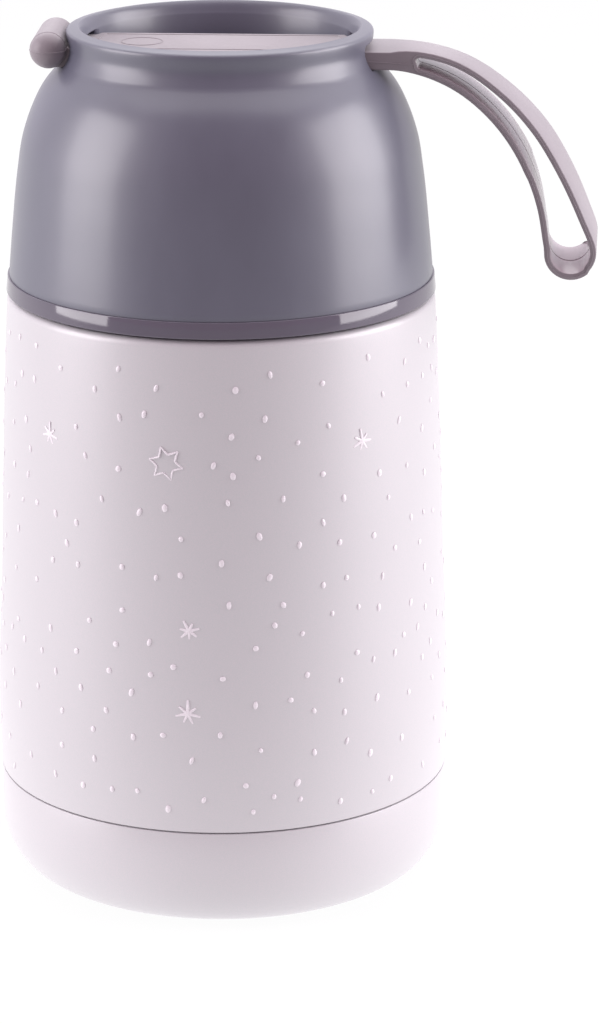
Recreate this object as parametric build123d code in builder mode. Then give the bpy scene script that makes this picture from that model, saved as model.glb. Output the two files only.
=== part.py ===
from build123d import *
import os
from math import cos, radians, sin

# Insulated food jar: a vacuum flask with a plug stopper, and a screw-on cup that carries a silicone strap.
# Millimetres. Z is the jar's axis, pointing up, and z = 0 is the ground. The strap's loop hangs out along +X.

# ------------------------------------------------------------------ driving sizes: the flask's outside
belly_radius = 51.0
belly_height = 34.0
seam_draw = 0.25
seam_height = 24.2
waist_draw = 1.25
waist_height = 72.5
chest_draw = 2.7
chest_height = 113.0
shoulder_draw = 3.6
shoulder_height = 133.0
shoulder_round = 1.6
shell_wall = 0.6

# ------------------------------------------------------------------ driving sizes: base
cap_wall = 0.8
base_round_width = 9.25
base_round_height = 13.1
seam_gap = 0.35
skirt_foot_height = 13.5
groove_radius = 30.0
groove_width = 6.0
groove_depth = 1.0
closing_lift = 1.1
closing_flange = 6.0
closing_dish_radius = 30.0
closing_dish_drop = 1.4
seal_off_radius = 4.0
seal_off_depth = 1.6

# ------------------------------------------------------------------ driving sizes: mouth and inner vessel
shoulder_ledge = 6.2
neck_height = 16.0
lip_width = 3.2
vessel_bulge = 6.0
vessel_wall = 0.6
vessel_floor_height = 20.0
vessel_floor_round = 12.0
throat_depth = 22.0
vessel_taper = 13.0
foil_thickness = 0.2
foil_gap = 0.15
foil_low_margin = 2.0
foil_high_margin = 4.0
getter_radius = 4.0
getter_thickness = 1.8
getter_reach = 20.0
clip_width = 3.0
clip_strip = 0.4
clip_ear = 3.0

# ------------------------------------------------------------------ driving sizes: threads
thread_lead = 24.0
thread_starts = 4
thread_root_width = 2.6
thread_crest_width = 1.2
thread_height = 1.4
thread_gap = 0.3
thread_bite = 0.25
thread_sector = 52.0
plug_thread_depth = 11.0

# ------------------------------------------------------------------ driving sizes: cup
cup_wall = 2.5
band_inset = 0.2
band_height = 3.75
band_lift = 0.45
band_round = 0.4
band_spigot = 2.0
band_spigot_wall = 1.2
cup_inset = 0.4
cup_height = 54.0
cup_mid_draw = 2.3
cup_mid_rise = 23.2
cup_crown_draw = 5.4
cup_crown_drop = 17.7
cup_neck_draw = 13.8
cup_neck_drop = 4.4
foot_ring_width = 2.7
foot_round = 1.7
recess_depth = 7.6
bowl_round = 3.0

# ------------------------------------------------------------------ driving sizes: strap
strap_width = 16.0
strap_thickness = 3.9
plate_width = 28.0
bar_radius = 4.0
bar_length = 26.0
bar_lift = 0.5
bar_rise = 1.7
slot_height = 5.0
slot_round = 0.5
loop_branch = 1.6
loop_slit_round = 0.7
loop_bend_radius = 5.9
loop_reach = 39.8
loop_drop = 41.45
loop_slit_start = 7.0
flex_lead = 4.2

# ------------------------------------------------------------------ driving sizes: stopper
plug_wall = 2.0
plug_depth = 23.0
plug_clearance = 0.4
plug_chamfer = 1.0
flange_inset = 0.5
flange_thickness = 2.0
stopper_stand = 12.2
grip_flutes = 30
grip_flute_radius = 1.7
grip_flute_depth = 1.0
gasket_thickness = 1.5
gasket_inset = 0.3

# ------------------------------------------------------------------ driving sizes: vent
vent_travel = 2.0
button_radius = 8.0
button_thickness = 3.4
button_lip = 1.2
button_lip_thickness = 1.4
button_chamfer = 0.6
stem_radius = 1.8
stem_head_radius = 3.6
stem_head_thickness = 1.4
seal_radius = 7.0
seal_thickness = 1.6
vent_tube_radius = 4.6
vent_tube_bore = 3.0
vent_room = 2.5
spring_wire_radius = 0.35
spring_radius = 3.7
spring_turns = 5

# ------------------------------------------------------------------ clearances
press_gap = 0.05
running_gap = 0.3
slide_gap = 0.1

# ------------------------------------------------------------------ worked-out sizes
seam_radius = belly_radius - seam_draw
waist_radius = belly_radius - waist_draw
chest_radius = belly_radius - chest_draw
shoulder_radius = belly_radius - shoulder_draw
floor_radius = seam_radius - base_round_width
skirt_radius = seam_radius - cap_wall - press_gap
groove_outer_radius = groove_radius + groove_width / 2
groove_inner_radius = groove_radius - groove_width / 2
closing_height = skirt_foot_height + closing_lift
neck_radius = shoulder_radius - shoulder_ledge
mouth_radius = neck_radius - lip_width
mouth_height = shoulder_height + neck_height
vessel_radius = mouth_radius + vessel_bulge
vessel_throat_height = mouth_height - throat_depth
vessel_shoulder_height = vessel_throat_height - vessel_taper
foil_low = vessel_floor_height + vessel_floor_round + foil_low_margin
foil_high = vessel_shoulder_height - foil_high_margin
plug_thread_height = mouth_height - plug_thread_depth
plug_floor_height = mouth_height - plug_depth
stopper_height = mouth_height + stopper_stand
flange_radius = neck_radius - flange_inset
gasket_outer_radius = flange_radius - gasket_inset
band_radius = shoulder_radius - band_inset
band_bottom = shoulder_height + band_lift
cup_bottom = band_bottom + band_height
cup_bore = neck_radius + thread_height + thread_gap + slide_gap
spigot_radius = cup_bore + slide_gap + band_spigot_wall
plug_radius = mouth_radius - thread_height - plug_clearance
flange_bottom = mouth_height + gasket_thickness + 2 * slide_gap
flange_top = flange_bottom + flange_thickness
cup_foot_radius = band_radius - cup_inset
cup_mid_radius = cup_foot_radius - cup_mid_draw
cup_mid_height = cup_bottom + cup_mid_rise
foot_crest_height = cup_bottom + cup_height
cup_crown_radius = cup_foot_radius - cup_crown_draw
cup_crown_height = foot_crest_height - cup_crown_drop
cup_neck_radius = cup_foot_radius - cup_neck_draw
cup_neck_height = foot_crest_height - cup_neck_drop
foot_inner_radius = cup_neck_radius - foot_ring_width
recess_height = foot_crest_height - recess_depth
strap_bottom = recess_height + slide_gap
strap_top = strap_bottom + strap_thickness
strap_middle = strap_bottom + strap_thickness / 2
ceiling_height = recess_height - cup_wall
insulation_bottom = plug_floor_height + plug_wall + slide_gap
thread_step = (thread_root_width + thread_crest_width) / 2 + thread_gap
cup_lug_height = cup_bottom + band_spigot + running_gap + slide_gap + thread_root_width / 2
neck_lug_height = cup_lug_height + thread_step
vessel_outer_radius = vessel_radius + vessel_wall
cap_top_height = stopper_height - plug_wall
button_lip_top = cap_top_height - slide_gap
button_bottom = button_lip_top - button_lip_thickness
vent_tube_height = button_bottom - vent_travel - vent_room
bar_reach = cup_neck_radius + bar_radius + bar_lift
bar_height = strap_middle + bar_rise
flex_reach = cup_neck_radius + flex_lead
bend_reach = flex_reach + loop_reach
bend_height = strap_middle - loop_drop
bend_left = bend_reach - loop_bend_radius
bend_right = bend_reach + loop_bend_radius


def wall_stations(inset):
    """Points up the flask's wall from the seam to the shoulder, moved inwards by inset."""
    stations = (
        (seam_radius, seam_height),
        (belly_radius, belly_height),
        (waist_radius, waist_height),
        (chest_radius, chest_height),
        (shoulder_radius, shoulder_height - shoulder_round),
    )
    return [(radius - inset, height) for radius, height in stations]


def thread_lug(root_radius, direction, sector=thread_sector):
    """One helical ridge on a cylinder of root_radius, standing outwards (1) or inwards (-1)."""
    rise = thread_lead * sector / 360
    foot = root_radius - direction * thread_bite
    with BuildPart() as lug:
        with BuildLine() as path:
            Helix(pitch=thread_lead, height=rise, radius=foot)
        with BuildSketch(Plane(origin=path.line @ 0, x_dir=(direction, 0, 0), z_dir=path.line % 0)):
            with BuildLine():
                Polyline(
                    (0, -thread_root_width / 2),
                    (thread_bite, -thread_root_width / 2),
                    (thread_bite + thread_height, -thread_crest_width / 2),
                    (thread_bite + thread_height, thread_crest_width / 2),
                    (thread_bite, thread_root_width / 2),
                    (0, thread_root_width / 2),
                    close=True,
                )
            make_face()
        sweep(path=path.line, is_frenet=True)
    return lug.part


def ring(inner_radius, outer_radius, bottom, top):
    """A plain ring about the jar's axis."""
    with BuildPart() as made:
        with BuildSketch(Plane.XY.offset(bottom)):
            Circle(outer_radius)
            Circle(inner_radius, mode=Mode.SUBTRACT)
        extrude(amount=top - bottom)
    return made.part


def between(start, end, shares):
    """Points between two corners, each at a share of the way across and a share of the way up or down."""
    return [
        (start[0] + across * (end[0] - start[0]), start[1] + along * (end[1] - start[1]))
        for across, along in shares
    ]


def beside(edge, distance, shares):
    """Points beside an edge, each at a share of its length and at a distance to its right."""
    return [edge @ share + Vector((edge % share).Y, -(edge % share).X) * distance for share in shares]


def save(part, name):
    """Labels a finished piece and writes it as one STEP file."""
    part.label = name
    export_step(part, f"parts/{name}.step")


os.makedirs("parts", exist_ok=True)

# ------------------------------------------------------------------ outer shell
outer_lug = thread_lug(neck_radius, 1)
with BuildPart() as outer_shell:
    with BuildSketch(Plane.XZ):
        with BuildLine():
            outer_wall = Spline(*wall_stations(0))
            outer_round = CenterArc(
                (shoulder_radius - shoulder_round, shoulder_height - shoulder_round), shoulder_round, 0, 90
            )
            inner_wall = Spline(*wall_stations(shell_wall))
            inner_round = CenterArc(
                (shoulder_radius - shoulder_round, shoulder_height - shoulder_round),
                shoulder_round - shell_wall,
                0,
                90,
            )
            Polyline(
                outer_round @ 1,
                (neck_radius, shoulder_height),
                (neck_radius, mouth_height - vessel_wall),
                (neck_radius - shell_wall, mouth_height - vessel_wall),
                (neck_radius - shell_wall, shoulder_height - shell_wall),
                inner_round @ 1,
            )
            Polyline(
                inner_wall @ 0,
                (skirt_radius - shell_wall, seam_height),
                (skirt_radius - shell_wall, skirt_foot_height),
                (skirt_radius, skirt_foot_height),
                (skirt_radius, seam_height - shell_wall),
                (seam_radius, seam_height - shell_wall),
                (seam_radius, seam_height),
            )
        make_face()
    revolve(axis=Axis.Z)
    with Locations((0, 0, neck_lug_height)):
        with PolarLocations(0, thread_starts):
            add(outer_lug)
save(outer_shell.part, "outer_shell")

# ------------------------------------------------------------------ base cap, pressed over the shell's skirt
cap_top = seam_height - shell_wall - seam_gap
with BuildPart() as base_cap:
    with BuildSketch(Plane.XZ):
        with BuildLine():
            EllipticalCenterArc(
                (floor_radius, base_round_height),
                base_round_width,
                base_round_height,
                start_angle=270,
                arc_size=90,
            )
            Line((seam_radius, base_round_height), (seam_radius, cap_top))
            Line((seam_radius, cap_top), (seam_radius - cap_wall, cap_top))
            Line((seam_radius - cap_wall, cap_top), (seam_radius - cap_wall, base_round_height))
            EllipticalCenterArc(
                (floor_radius, base_round_height),
                base_round_width - cap_wall,
                base_round_height - cap_wall,
                start_angle=270,
                arc_size=90,
            )
            Polyline(
                (floor_radius, cap_wall),
                (groove_outer_radius + cap_wall, cap_wall),
                (groove_outer_radius, groove_depth + cap_wall),
                (groove_inner_radius, groove_depth + cap_wall),
                (groove_inner_radius - cap_wall, cap_wall),
                (0, cap_wall),
                (0, 0),
                (groove_inner_radius, 0),
                (groove_inner_radius + cap_wall, groove_depth),
                (groove_outer_radius - cap_wall, groove_depth),
                (groove_outer_radius, 0),
                (floor_radius, 0),
            )
        make_face()
    revolve(axis=Axis.Z)
save(base_cap.part, "base_cap")

# ------------------------------------------------------------------ vacuum closing plate and seal-off bead
closing_radius = skirt_radius - shell_wall
dish_height = closing_height - closing_dish_drop
with BuildPart() as vacuum_bottom:
    with BuildSketch(Plane.XZ):
        with BuildLine():
            Polyline(
                (seal_off_radius, dish_height),
                (closing_dish_radius, dish_height),
                (closing_dish_radius + 2 * closing_dish_drop, closing_height),
                (closing_radius, closing_height),
                (closing_radius, closing_height + closing_flange),
                (closing_radius - shell_wall, closing_height + closing_flange),
                (closing_radius - shell_wall, closing_height + shell_wall),
                (closing_dish_radius + 2 * closing_dish_drop - shell_wall / 2, closing_height + shell_wall),
                (closing_dish_radius - shell_wall / 2, dish_height + shell_wall),
                (seal_off_radius, dish_height + shell_wall),
                close=True,
            )
        make_face()
    revolve(axis=Axis.Z)
save(vacuum_bottom.part, "vacuum_bottom")

with BuildPart() as seal_off_bead:
    with BuildSketch(Plane.XZ):
        with BuildLine():
            seal_crown = ThreePointArc(
                (0, dish_height - seal_off_depth + shell_wall),
                (seal_off_radius / 2, dish_height - 0.7 * seal_off_depth + shell_wall),
                (seal_off_radius - press_gap, dish_height),
            )
            Polyline(
                seal_crown @ 1,
                (seal_off_radius - press_gap, dish_height + shell_wall),
                (0, dish_height + shell_wall),
                seal_crown @ 0,
            )
        make_face()
    revolve(axis=Axis.Z)
save(seal_off_bead.part, "seal_off_bead")


# ------------------------------------------------------------------ inner vessel
def vessel_side(inset):
    """The vessel's side from the top of its floor round to its throat, moved outwards by inset."""
    return Spline(
        (vessel_radius + inset, vessel_shoulder_height),
        ((vessel_radius + mouth_radius) / 2 + inset, (vessel_shoulder_height + vessel_throat_height) / 2),
        (mouth_radius + inset, vessel_throat_height),
        tangents=[(0, 1), (0, 1)],
    )


inner_lug = thread_lug(mouth_radius, -1)
with BuildPart() as inner_vessel:
    with BuildSketch(Plane.XZ):
        with BuildLine():
            inside = vessel_side(0)
            outside = vessel_side(vessel_wall)
            floor_inside = CenterArc(
                (vessel_radius - vessel_floor_round, vessel_floor_height + vessel_floor_round),
                vessel_floor_round,
                270,
                90,
            )
            floor_outside = CenterArc(
                (vessel_radius - vessel_floor_round, vessel_floor_height + vessel_floor_round),
                vessel_floor_round + vessel_wall,
                270,
                90,
            )
            Line(floor_inside @ 1, inside @ 0)
            Line(floor_outside @ 1, outside @ 0)
            Polyline(
                floor_inside @ 0,
                (0, vessel_floor_height),
                (0, vessel_floor_height - vessel_wall),
                floor_outside @ 0,
            )
            Polyline(
                inside @ 1,
                (mouth_radius, mouth_height),
                (neck_radius, mouth_height),
                (neck_radius, mouth_height - vessel_wall),
                (mouth_radius + vessel_wall, mouth_height - vessel_wall),
                outside @ 1,
            )
        make_face()
    revolve(axis=Axis.Z)
    with Locations((0, 0, plug_thread_height)):
        with PolarLocations(0, thread_starts):
            add(inner_lug)
save(inner_vessel.part, "inner_vessel")

# ------------------------------------------------------------------ radiation foil, getter and its clip
foil_radius = vessel_outer_radius + foil_gap
save(ring(foil_radius, foil_radius + foil_thickness, foil_low, foil_high), "radiation_foil")

getter_top = vessel_floor_height - vessel_wall - 2 * press_gap
with BuildPart() as getter:
    with BuildSketch(Plane.XY.offset(getter_top - getter_thickness)):
        with Locations((getter_reach, 0)):
            Circle(getter_radius)
    extrude(amount=getter_thickness)
    chamfer(getter.edges().group_by(Axis.Z)[0], getter_thickness / 4)
save(getter.part, "getter")

clip_hook = getter_radius + 2 * press_gap
clip_reach = getter_radius + clip_ear
clip_bottom = getter_top - getter_thickness - press_gap
with BuildPart() as getter_clip:
    with BuildSketch(Plane.XZ):
        with BuildLine():
            Polyline(
                (getter_reach - clip_reach, getter_top),
                (getter_reach - clip_hook, getter_top),
                (getter_reach - clip_hook, clip_bottom),
                (getter_reach + clip_hook, clip_bottom),
                (getter_reach + clip_hook, getter_top),
                (getter_reach + clip_reach, getter_top),
                (getter_reach + clip_reach, getter_top - clip_strip),
                (getter_reach + clip_hook + clip_strip, getter_top - clip_strip),
                (getter_reach + clip_hook + clip_strip, clip_bottom - clip_strip),
                (getter_reach - clip_hook - clip_strip, clip_bottom - clip_strip),
                (getter_reach - clip_hook - clip_strip, getter_top - clip_strip),
                (getter_reach - clip_reach, getter_top - clip_strip),
                close=True,
            )
        make_face()
    extrude(amount=clip_width / 2, both=True)
save(getter_clip.part, "getter_clip")

# ------------------------------------------------------------------ lip ring: the glossy band under the cup
with BuildPart() as lip_ring:
    with BuildSketch(Plane.XZ):
        with BuildLine():
            Polyline(
                (cup_bore + slide_gap, band_bottom),
                (band_radius, band_bottom),
                (band_radius, cup_bottom - slide_gap),
                (spigot_radius, cup_bottom - slide_gap),
                (spigot_radius, cup_bottom + band_spigot),
                (cup_bore + slide_gap, cup_bottom + band_spigot),
                close=True,
            )
        make_face()
    revolve(axis=Axis.Z)
    fillet(lip_ring.edges().filter_by(GeomType.CIRCLE).sort_by(SortBy.RADIUS)[-2:], band_round)
save(lip_ring.part, "lip_ring")


# ------------------------------------------------------------------ cup
def dome_stations(inset):
    """Points up the cup's outer wall, each with its surface's lean in degrees, moved inwards by inset."""
    foot = (cup_foot_radius, cup_bottom)
    middle = (cup_mid_radius, cup_mid_height)
    crown = (cup_crown_radius, cup_crown_height)
    low_side = between(foot, middle, [(0.4, 0.45)])[0]
    high_side = between(middle, crown, [(0.38, 0.55)])[0]
    brow = between(crown, (cup_neck_radius, recess_height), [(0.3, 0.51)])[0]
    stations = zip((foot, low_side, middle, high_side, crown, brow), (4.0, 5.5, 7.0, 13.0, 23.0, 36.0))
    return [
        (point[0] - inset * cos(radians(lean)), point[1] - inset * sin(radians(lean)))
        for point, lean in stations
    ]


cup_lug = thread_lug(cup_bore, -1)
foot_centre_radius = foot_inner_radius + foot_round
with BuildPart() as cup:
    with BuildSketch(Plane.XZ):
        with BuildLine():
            dome = Spline(
                *dome_stations(0),
                (cup_neck_radius + foot_round, recess_height - slide_gap),
            )
            foot_neck = Spline(
                dome @ 1,
                (cup_neck_radius, cup_neck_height),
                (foot_centre_radius + foot_round, foot_crest_height - foot_round),
                tangents=[dome % 1, (0, 1)],
            )
            foot_crest = CenterArc((foot_centre_radius, foot_crest_height - foot_round), foot_round, 0, 180)
            bowl = Spline(
                (foot_inner_radius - bowl_round, ceiling_height),
                *reversed(dome_stations(cup_wall)[3:]),
                (cup_bore, dome_stations(0)[1][1]),
                tangents=[(1, 0), (0, -1)],
            )
            Polyline(
                foot_crest @ 1,
                (foot_inner_radius, recess_height),
                (0, recess_height),
                (0, ceiling_height),
                bowl @ 0,
            )
            Polyline(
                bowl @ 1,
                (cup_bore, cup_bottom + band_spigot + running_gap),
                (spigot_radius + running_gap, cup_bottom + band_spigot + running_gap),
                (spigot_radius + running_gap, cup_bottom),
                (cup_foot_radius, cup_bottom),
            )
        make_face()
    revolve(axis=Axis.Z)
    with BuildSketch(Plane.YZ):
        with Locations((0, recess_height + slot_height / 2)):
            RectangleRounded(strap_width + 2 * running_gap, slot_height, slot_round)
    extrude(amount=bar_reach, both=True, mode=Mode.SUBTRACT)
    with Locations((0, 0, cup_lug_height)):
        with PolarLocations(0, thread_starts):
            add(cup_lug)
save(cup.part, "cup")

# ------------------------------------------------------------------ strap: end bar, centre plate and stub
plate_radius = foot_inner_radius - running_gap
knuckle_radius = strap_thickness / 2
with BuildPart() as strap:
    with BuildSketch(Plane.XY.offset(strap_bottom)):
        Circle(plate_radius)
        Rectangle(2 * plate_radius, plate_width, mode=Mode.INTERSECT)
    extrude(amount=strap_thickness)
    with BuildSketch(Plane.XY.offset(strap_bottom)):
        with Locations(((flex_reach - bar_reach) / 2, 0)):
            Rectangle(flex_reach + bar_reach, strap_width)
    extrude(amount=strap_thickness)
    with Locations((-bar_reach, 0, bar_height)):
        Cylinder(bar_radius, bar_length - 2 * bar_radius, rotation=(90, 0, 0))
    with Locations(
        (-bar_reach, bar_length / 2 - bar_radius, bar_height),
        (-bar_reach, bar_radius - bar_length / 2, bar_height),
    ):
        Sphere(bar_radius)
    with Locations((flex_reach, 0, strap_middle)):
        Cylinder(knuckle_radius + running_gap, strap_width + 2, rotation=(90, 0, 0), mode=Mode.SUBTRACT)
save(strap.part, "strap")

# ------------------------------------------------------------------ strap loop
upper_root = (flex_reach, strap_top)
upper_tip = (bend_right, bend_height)
lower_root = (flex_reach, strap_bottom)
lower_tip = (bend_left, bend_height)
loop_shares = (0.1, 0.25, 0.4, 0.55, 0.7, 0.85, 1.0)
with BuildSketch(Plane.XZ) as loop_outline:
    with BuildLine():
        upper_edge = Spline(
            upper_root,
            *between(upper_root, upper_tip, [(0.2385, 0.0207), (0.5295, 0.1843), (0.814, 0.5184)]),
            upper_tip,
            tangents=[(1, 0), (0, -1)],
        )
        bend = CenterArc((bend_reach, bend_height), loop_bend_radius, 0, -180)
        lower_edge = Spline(
            lower_tip,
            *between(
                lower_root,
                lower_tip,
                [(0.9617, 0.7924), (0.7729, 0.4278), (0.4395, 0.1241), (0.2183, 0.0354)],
            ),
            lower_root,
            tangents=[(0, 1), (-1, 0)],
        )
        knuckle = CenterArc((flex_reach, strap_middle), knuckle_radius, 90, 180)
    make_face()
with BuildSketch(Plane.XZ) as loop_gap:
    with BuildLine():
        gap_upper = Spline(
            *beside(upper_edge, loop_branch, loop_shares),
            tangents=[upper_edge % loop_shares[0], (0, -1)],
        )
        gap_bend = CenterArc((bend_reach, bend_height), loop_bend_radius - loop_branch, 0, -180)
        gap_lower = Spline(
            *beside(lower_edge, loop_branch, [1 - share for share in reversed(loop_shares)]),
            tangents=[(0, 1), lower_edge % (1 - loop_shares[0])],
        )
        Line(gap_lower @ 1, gap_upper @ 0)
    make_face()
    with Locations((flex_reach + loop_slit_start + bend_right / 2, bend_height)):
        Rectangle(bend_right, 4 * bend_right, mode=Mode.INTERSECT)
    fillet(loop_gap.vertices().sort_by(Axis.X)[:2], loop_slit_round)
with BuildPart() as strap_loop:
    with BuildSketch(Plane.XZ):
        add(loop_outline.sketch_local)
        add(loop_gap.sketch_local, mode=Mode.SUBTRACT)
    extrude(amount=strap_width / 2, both=True)
save(strap_loop.part, "strap_loop")

# ------------------------------------------------------------------ stopper plug
plug_bore = plug_radius - plug_wall
plug_lug = thread_lug(plug_radius, 1)
with BuildPart() as stopper_plug:
    with BuildSketch(Plane.XZ):
        with BuildLine():
            Polyline(
                (vent_tube_bore, plug_floor_height),
                (plug_radius - plug_chamfer, plug_floor_height),
                (plug_radius, plug_floor_height + plug_chamfer),
                (plug_radius, flange_bottom),
                (flange_radius, flange_bottom),
                (flange_radius, flange_top),
                (plug_bore, flange_top),
                (plug_bore, plug_floor_height + plug_wall),
                (vent_tube_radius, plug_floor_height + plug_wall),
                (vent_tube_radius, vent_tube_height),
                (vent_tube_bore, vent_tube_height),
                close=True,
            )
        make_face()
    revolve(axis=Axis.Z)
    with Locations((0, 0, plug_thread_height - thread_step)):
        with PolarLocations(0, thread_starts):
            add(plug_lug)
save(stopper_plug.part, "stopper_plug")

# ------------------------------------------------------------------ stopper cap with its grip flutes
cap_spigot = plug_bore - press_gap
cap_bottom = flange_top + press_gap
button_hole = button_radius + running_gap
with BuildPart() as stopper_cap:
    with BuildSketch(Plane.XZ):
        with BuildLine():
            Polyline(
                (button_hole, cap_top_height),
                (cap_spigot - plug_wall, cap_top_height),
                (cap_spigot - plug_wall, cap_bottom - plug_wall),
                (cap_spigot, cap_bottom - plug_wall),
                (cap_spigot, cap_bottom),
                (flange_radius, cap_bottom),
                (flange_radius, stopper_height - plug_chamfer),
                (flange_radius - plug_chamfer, stopper_height),
                (button_hole, stopper_height),
                close=True,
            )
        make_face()
    revolve(axis=Axis.Z)
    with BuildSketch(Plane.XY.offset(cap_bottom)):
        with PolarLocations(flange_radius + grip_flute_radius - grip_flute_depth, grip_flutes):
            Circle(grip_flute_radius)
    extrude(amount=stopper_height, mode=Mode.SUBTRACT)
save(stopper_cap.part, "stopper_cap")

# ------------------------------------------------------------------ stopper insulation and gasket
save(
    ring(
        vent_tube_radius + slide_gap,
        plug_bore - slide_gap,
        insulation_bottom,
        cap_bottom - plug_wall - slide_gap,
    ),
    "stopper_insulation",
)
save(
    ring(
        plug_radius + running_gap,
        gasket_outer_radius,
        mouth_height + slide_gap,
        mouth_height + slide_gap + gasket_thickness,
    ),
    "stopper_gasket",
)

# ------------------------------------------------------------------ vent: button, stem, seal and spring
button_top = stopper_height
spring_pocket = spring_radius + spring_wire_radius + running_gap
pocket_top = button_top - button_thickness / 2
with BuildPart() as vent_button:
    with BuildSketch(Plane.XZ):
        with BuildLine():
            Polyline(
                (0, button_top),
                (button_radius - button_chamfer, button_top),
                (button_radius, button_top - button_chamfer),
                (button_radius, button_lip_top),
                (button_radius + button_lip, button_lip_top),
                (button_radius + button_lip, button_bottom),
                (spring_pocket, button_bottom),
                (spring_pocket, pocket_top),
                (0, pocket_top),
                close=True,
            )
        make_face()
    revolve(axis=Axis.Z)
save(vent_button.part, "vent_button")

seal_top = plug_floor_height - slide_gap
seal_bottom = seal_top - seal_thickness
head_bottom = seal_bottom - slide_gap - stem_head_thickness
with BuildPart() as vent_stem:
    with BuildSketch(Plane.XZ):
        with BuildLine():
            Polyline(
                (0, head_bottom),
                (stem_head_radius, head_bottom),
                (stem_head_radius, head_bottom + stem_head_thickness),
                (stem_radius, head_bottom + stem_head_thickness),
                (stem_radius, pocket_top - press_gap),
                (0, pocket_top - press_gap),
                close=True,
            )
        make_face()
    revolve(axis=Axis.Z)
save(vent_stem.part, "vent_stem")
save(ring(stem_radius + slide_gap, seal_radius, seal_bottom, seal_top), "vent_seal")

spring_low = vent_tube_height + spring_wire_radius + slide_gap
spring_high = pocket_top - spring_wire_radius - slide_gap
spring_length = spring_high - spring_low
with BuildPart() as vent_spring:
    with BuildLine() as coil:
        Helix(
            pitch=spring_length / spring_turns,
            height=spring_length,
            radius=spring_radius,
            center=(0, 0, spring_low),
        )
    with BuildSketch(Plane(origin=coil.line @ 0, z_dir=coil.line % 0)):
        Circle(spring_wire_radius)
    sweep(path=coil.line, is_frenet=True)
save(vent_spring.part, "vent_spring")
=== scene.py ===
"""Looks of an insulated food jar: a printed pearl flask, a slate screw-on cup and a silicone strap.

Every size is in metres. Z is the jar's axis, z = 0 is the ground, and the strap's loop hangs out along +X.
"""
import logging
import math
import random
from dataclasses import dataclass
from enum import Enum

import bmesh
import bpy
from mathutils import Matrix, Vector, noise
from mathutils.geometry import interpolate_bezier, intersect_point_line


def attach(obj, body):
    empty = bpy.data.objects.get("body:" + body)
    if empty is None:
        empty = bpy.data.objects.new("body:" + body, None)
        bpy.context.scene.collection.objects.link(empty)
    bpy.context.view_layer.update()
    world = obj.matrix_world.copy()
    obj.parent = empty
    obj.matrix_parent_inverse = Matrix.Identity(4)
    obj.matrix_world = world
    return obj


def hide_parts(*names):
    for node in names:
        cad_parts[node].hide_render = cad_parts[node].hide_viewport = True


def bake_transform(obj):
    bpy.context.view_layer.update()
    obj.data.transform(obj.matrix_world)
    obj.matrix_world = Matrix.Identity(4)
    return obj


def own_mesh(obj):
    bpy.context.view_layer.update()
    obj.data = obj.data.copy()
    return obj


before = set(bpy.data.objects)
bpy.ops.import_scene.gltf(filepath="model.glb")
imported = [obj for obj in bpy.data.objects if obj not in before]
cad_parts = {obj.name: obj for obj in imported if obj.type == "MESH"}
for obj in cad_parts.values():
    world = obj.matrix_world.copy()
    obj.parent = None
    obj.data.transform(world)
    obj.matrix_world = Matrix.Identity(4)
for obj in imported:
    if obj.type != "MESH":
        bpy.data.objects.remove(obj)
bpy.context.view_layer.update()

Station = tuple[float, float]
Colour = tuple[float, float, float]
Place = tuple[float, float, float]
Mesh = bmesh.types.BMesh
Piece = bpy.types.Object
Material = bpy.types.Material
Socket = bpy.types.NodeSocket

log = logging.getLogger("food_jar")

WORKED = "worked_"
SPIN_STEPS = 192
BEAD_SIDES = 6
BEVEL_SEGMENTS = 2
ROUND_STEPS = 4
SHARP_ANGLE = math.radians(30)
MERGE_DISTANCE = 1e-7
DECIMALS = 6
FACING = 0.99
COARSE, SMOOTH, FINE, RICH = 1.0, 2.0, 3.0, 4.0
WHITE = (1.0, 1.0, 1.0)
UP = Vector((0.0, 0.0, 1.0))


def srgb(red: int, green: int, blue: int) -> Colour:
    """Linear colour of a screen colour.

    Args:
        red: Red from 0 to 255.
        green: Green from 0 to 255.
        blue: Blue from 0 to 255.

    Returns:
        The three linear shares.
    """
    shares = (red / 255, green / 255, blue / 255)
    return tuple(s / 12.92 if s <= 0.04045 else ((s + 0.055) / 1.055) ** 2.4 for s in shares)


# ---- outlines and meshes
def smooth_run(
    knots: list[Vector], leave: Vector | None, arrive: Vector | None, steps: int
) -> list[Vector]:
    """Points of one smooth curve through a row of knots, without the first.

    Args:
        knots: Places that the curve passes.
        leave: Direction in which it starts, if it is given.
        arrive: Direction in which it ends, if it is given.
        steps: Number of runs between two knots.

    Returns:
        The points after the first knot.
    """
    chords = [after - before for before, after in zip(knots, knots[1:])]
    inner = [
        (a.normalized() * b.length + b.normalized() * a.length).normalized()
        for a, b in zip(chords, chords[1:])
    ]
    ends = [chords[0].normalized()] * 2
    if inner:
        outer = ((chords[0], inner[0]), (chords[-1], inner[-1]))
        ends = [(2 * chord.normalized() - lean).normalized() for chord, lean in outer]
    leans = [leave or ends[0], *inner, arrive or ends[1]]
    points = []
    for index, chord in enumerate(chords):
        reach = chord.length / 3
        points += interpolate_bezier(
            knots[index],
            knots[index] + leans[index] * reach,
            knots[index + 1] - leans[index + 1] * reach,
            knots[index + 1],
            steps + 1,
        )[1:]
    return points


def crossing(points: list[Vector], axis: int, value: float) -> Vector:
    """First point of a line at which one coordinate has a given value.

    Args:
        points: The line.
        axis: Number of the coordinate.
        value: Its value.

    Returns:
        The point, or the line's end where it never has that value.
    """
    for start, end in zip(points, points[1:]):
        if min(start[axis], end[axis]) <= value <= max(start[axis], end[axis]) and start[axis] != end[axis]:
            return start.lerp(end, (value - start[axis]) / (end[axis] - start[axis]))
    return points[-1]


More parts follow.
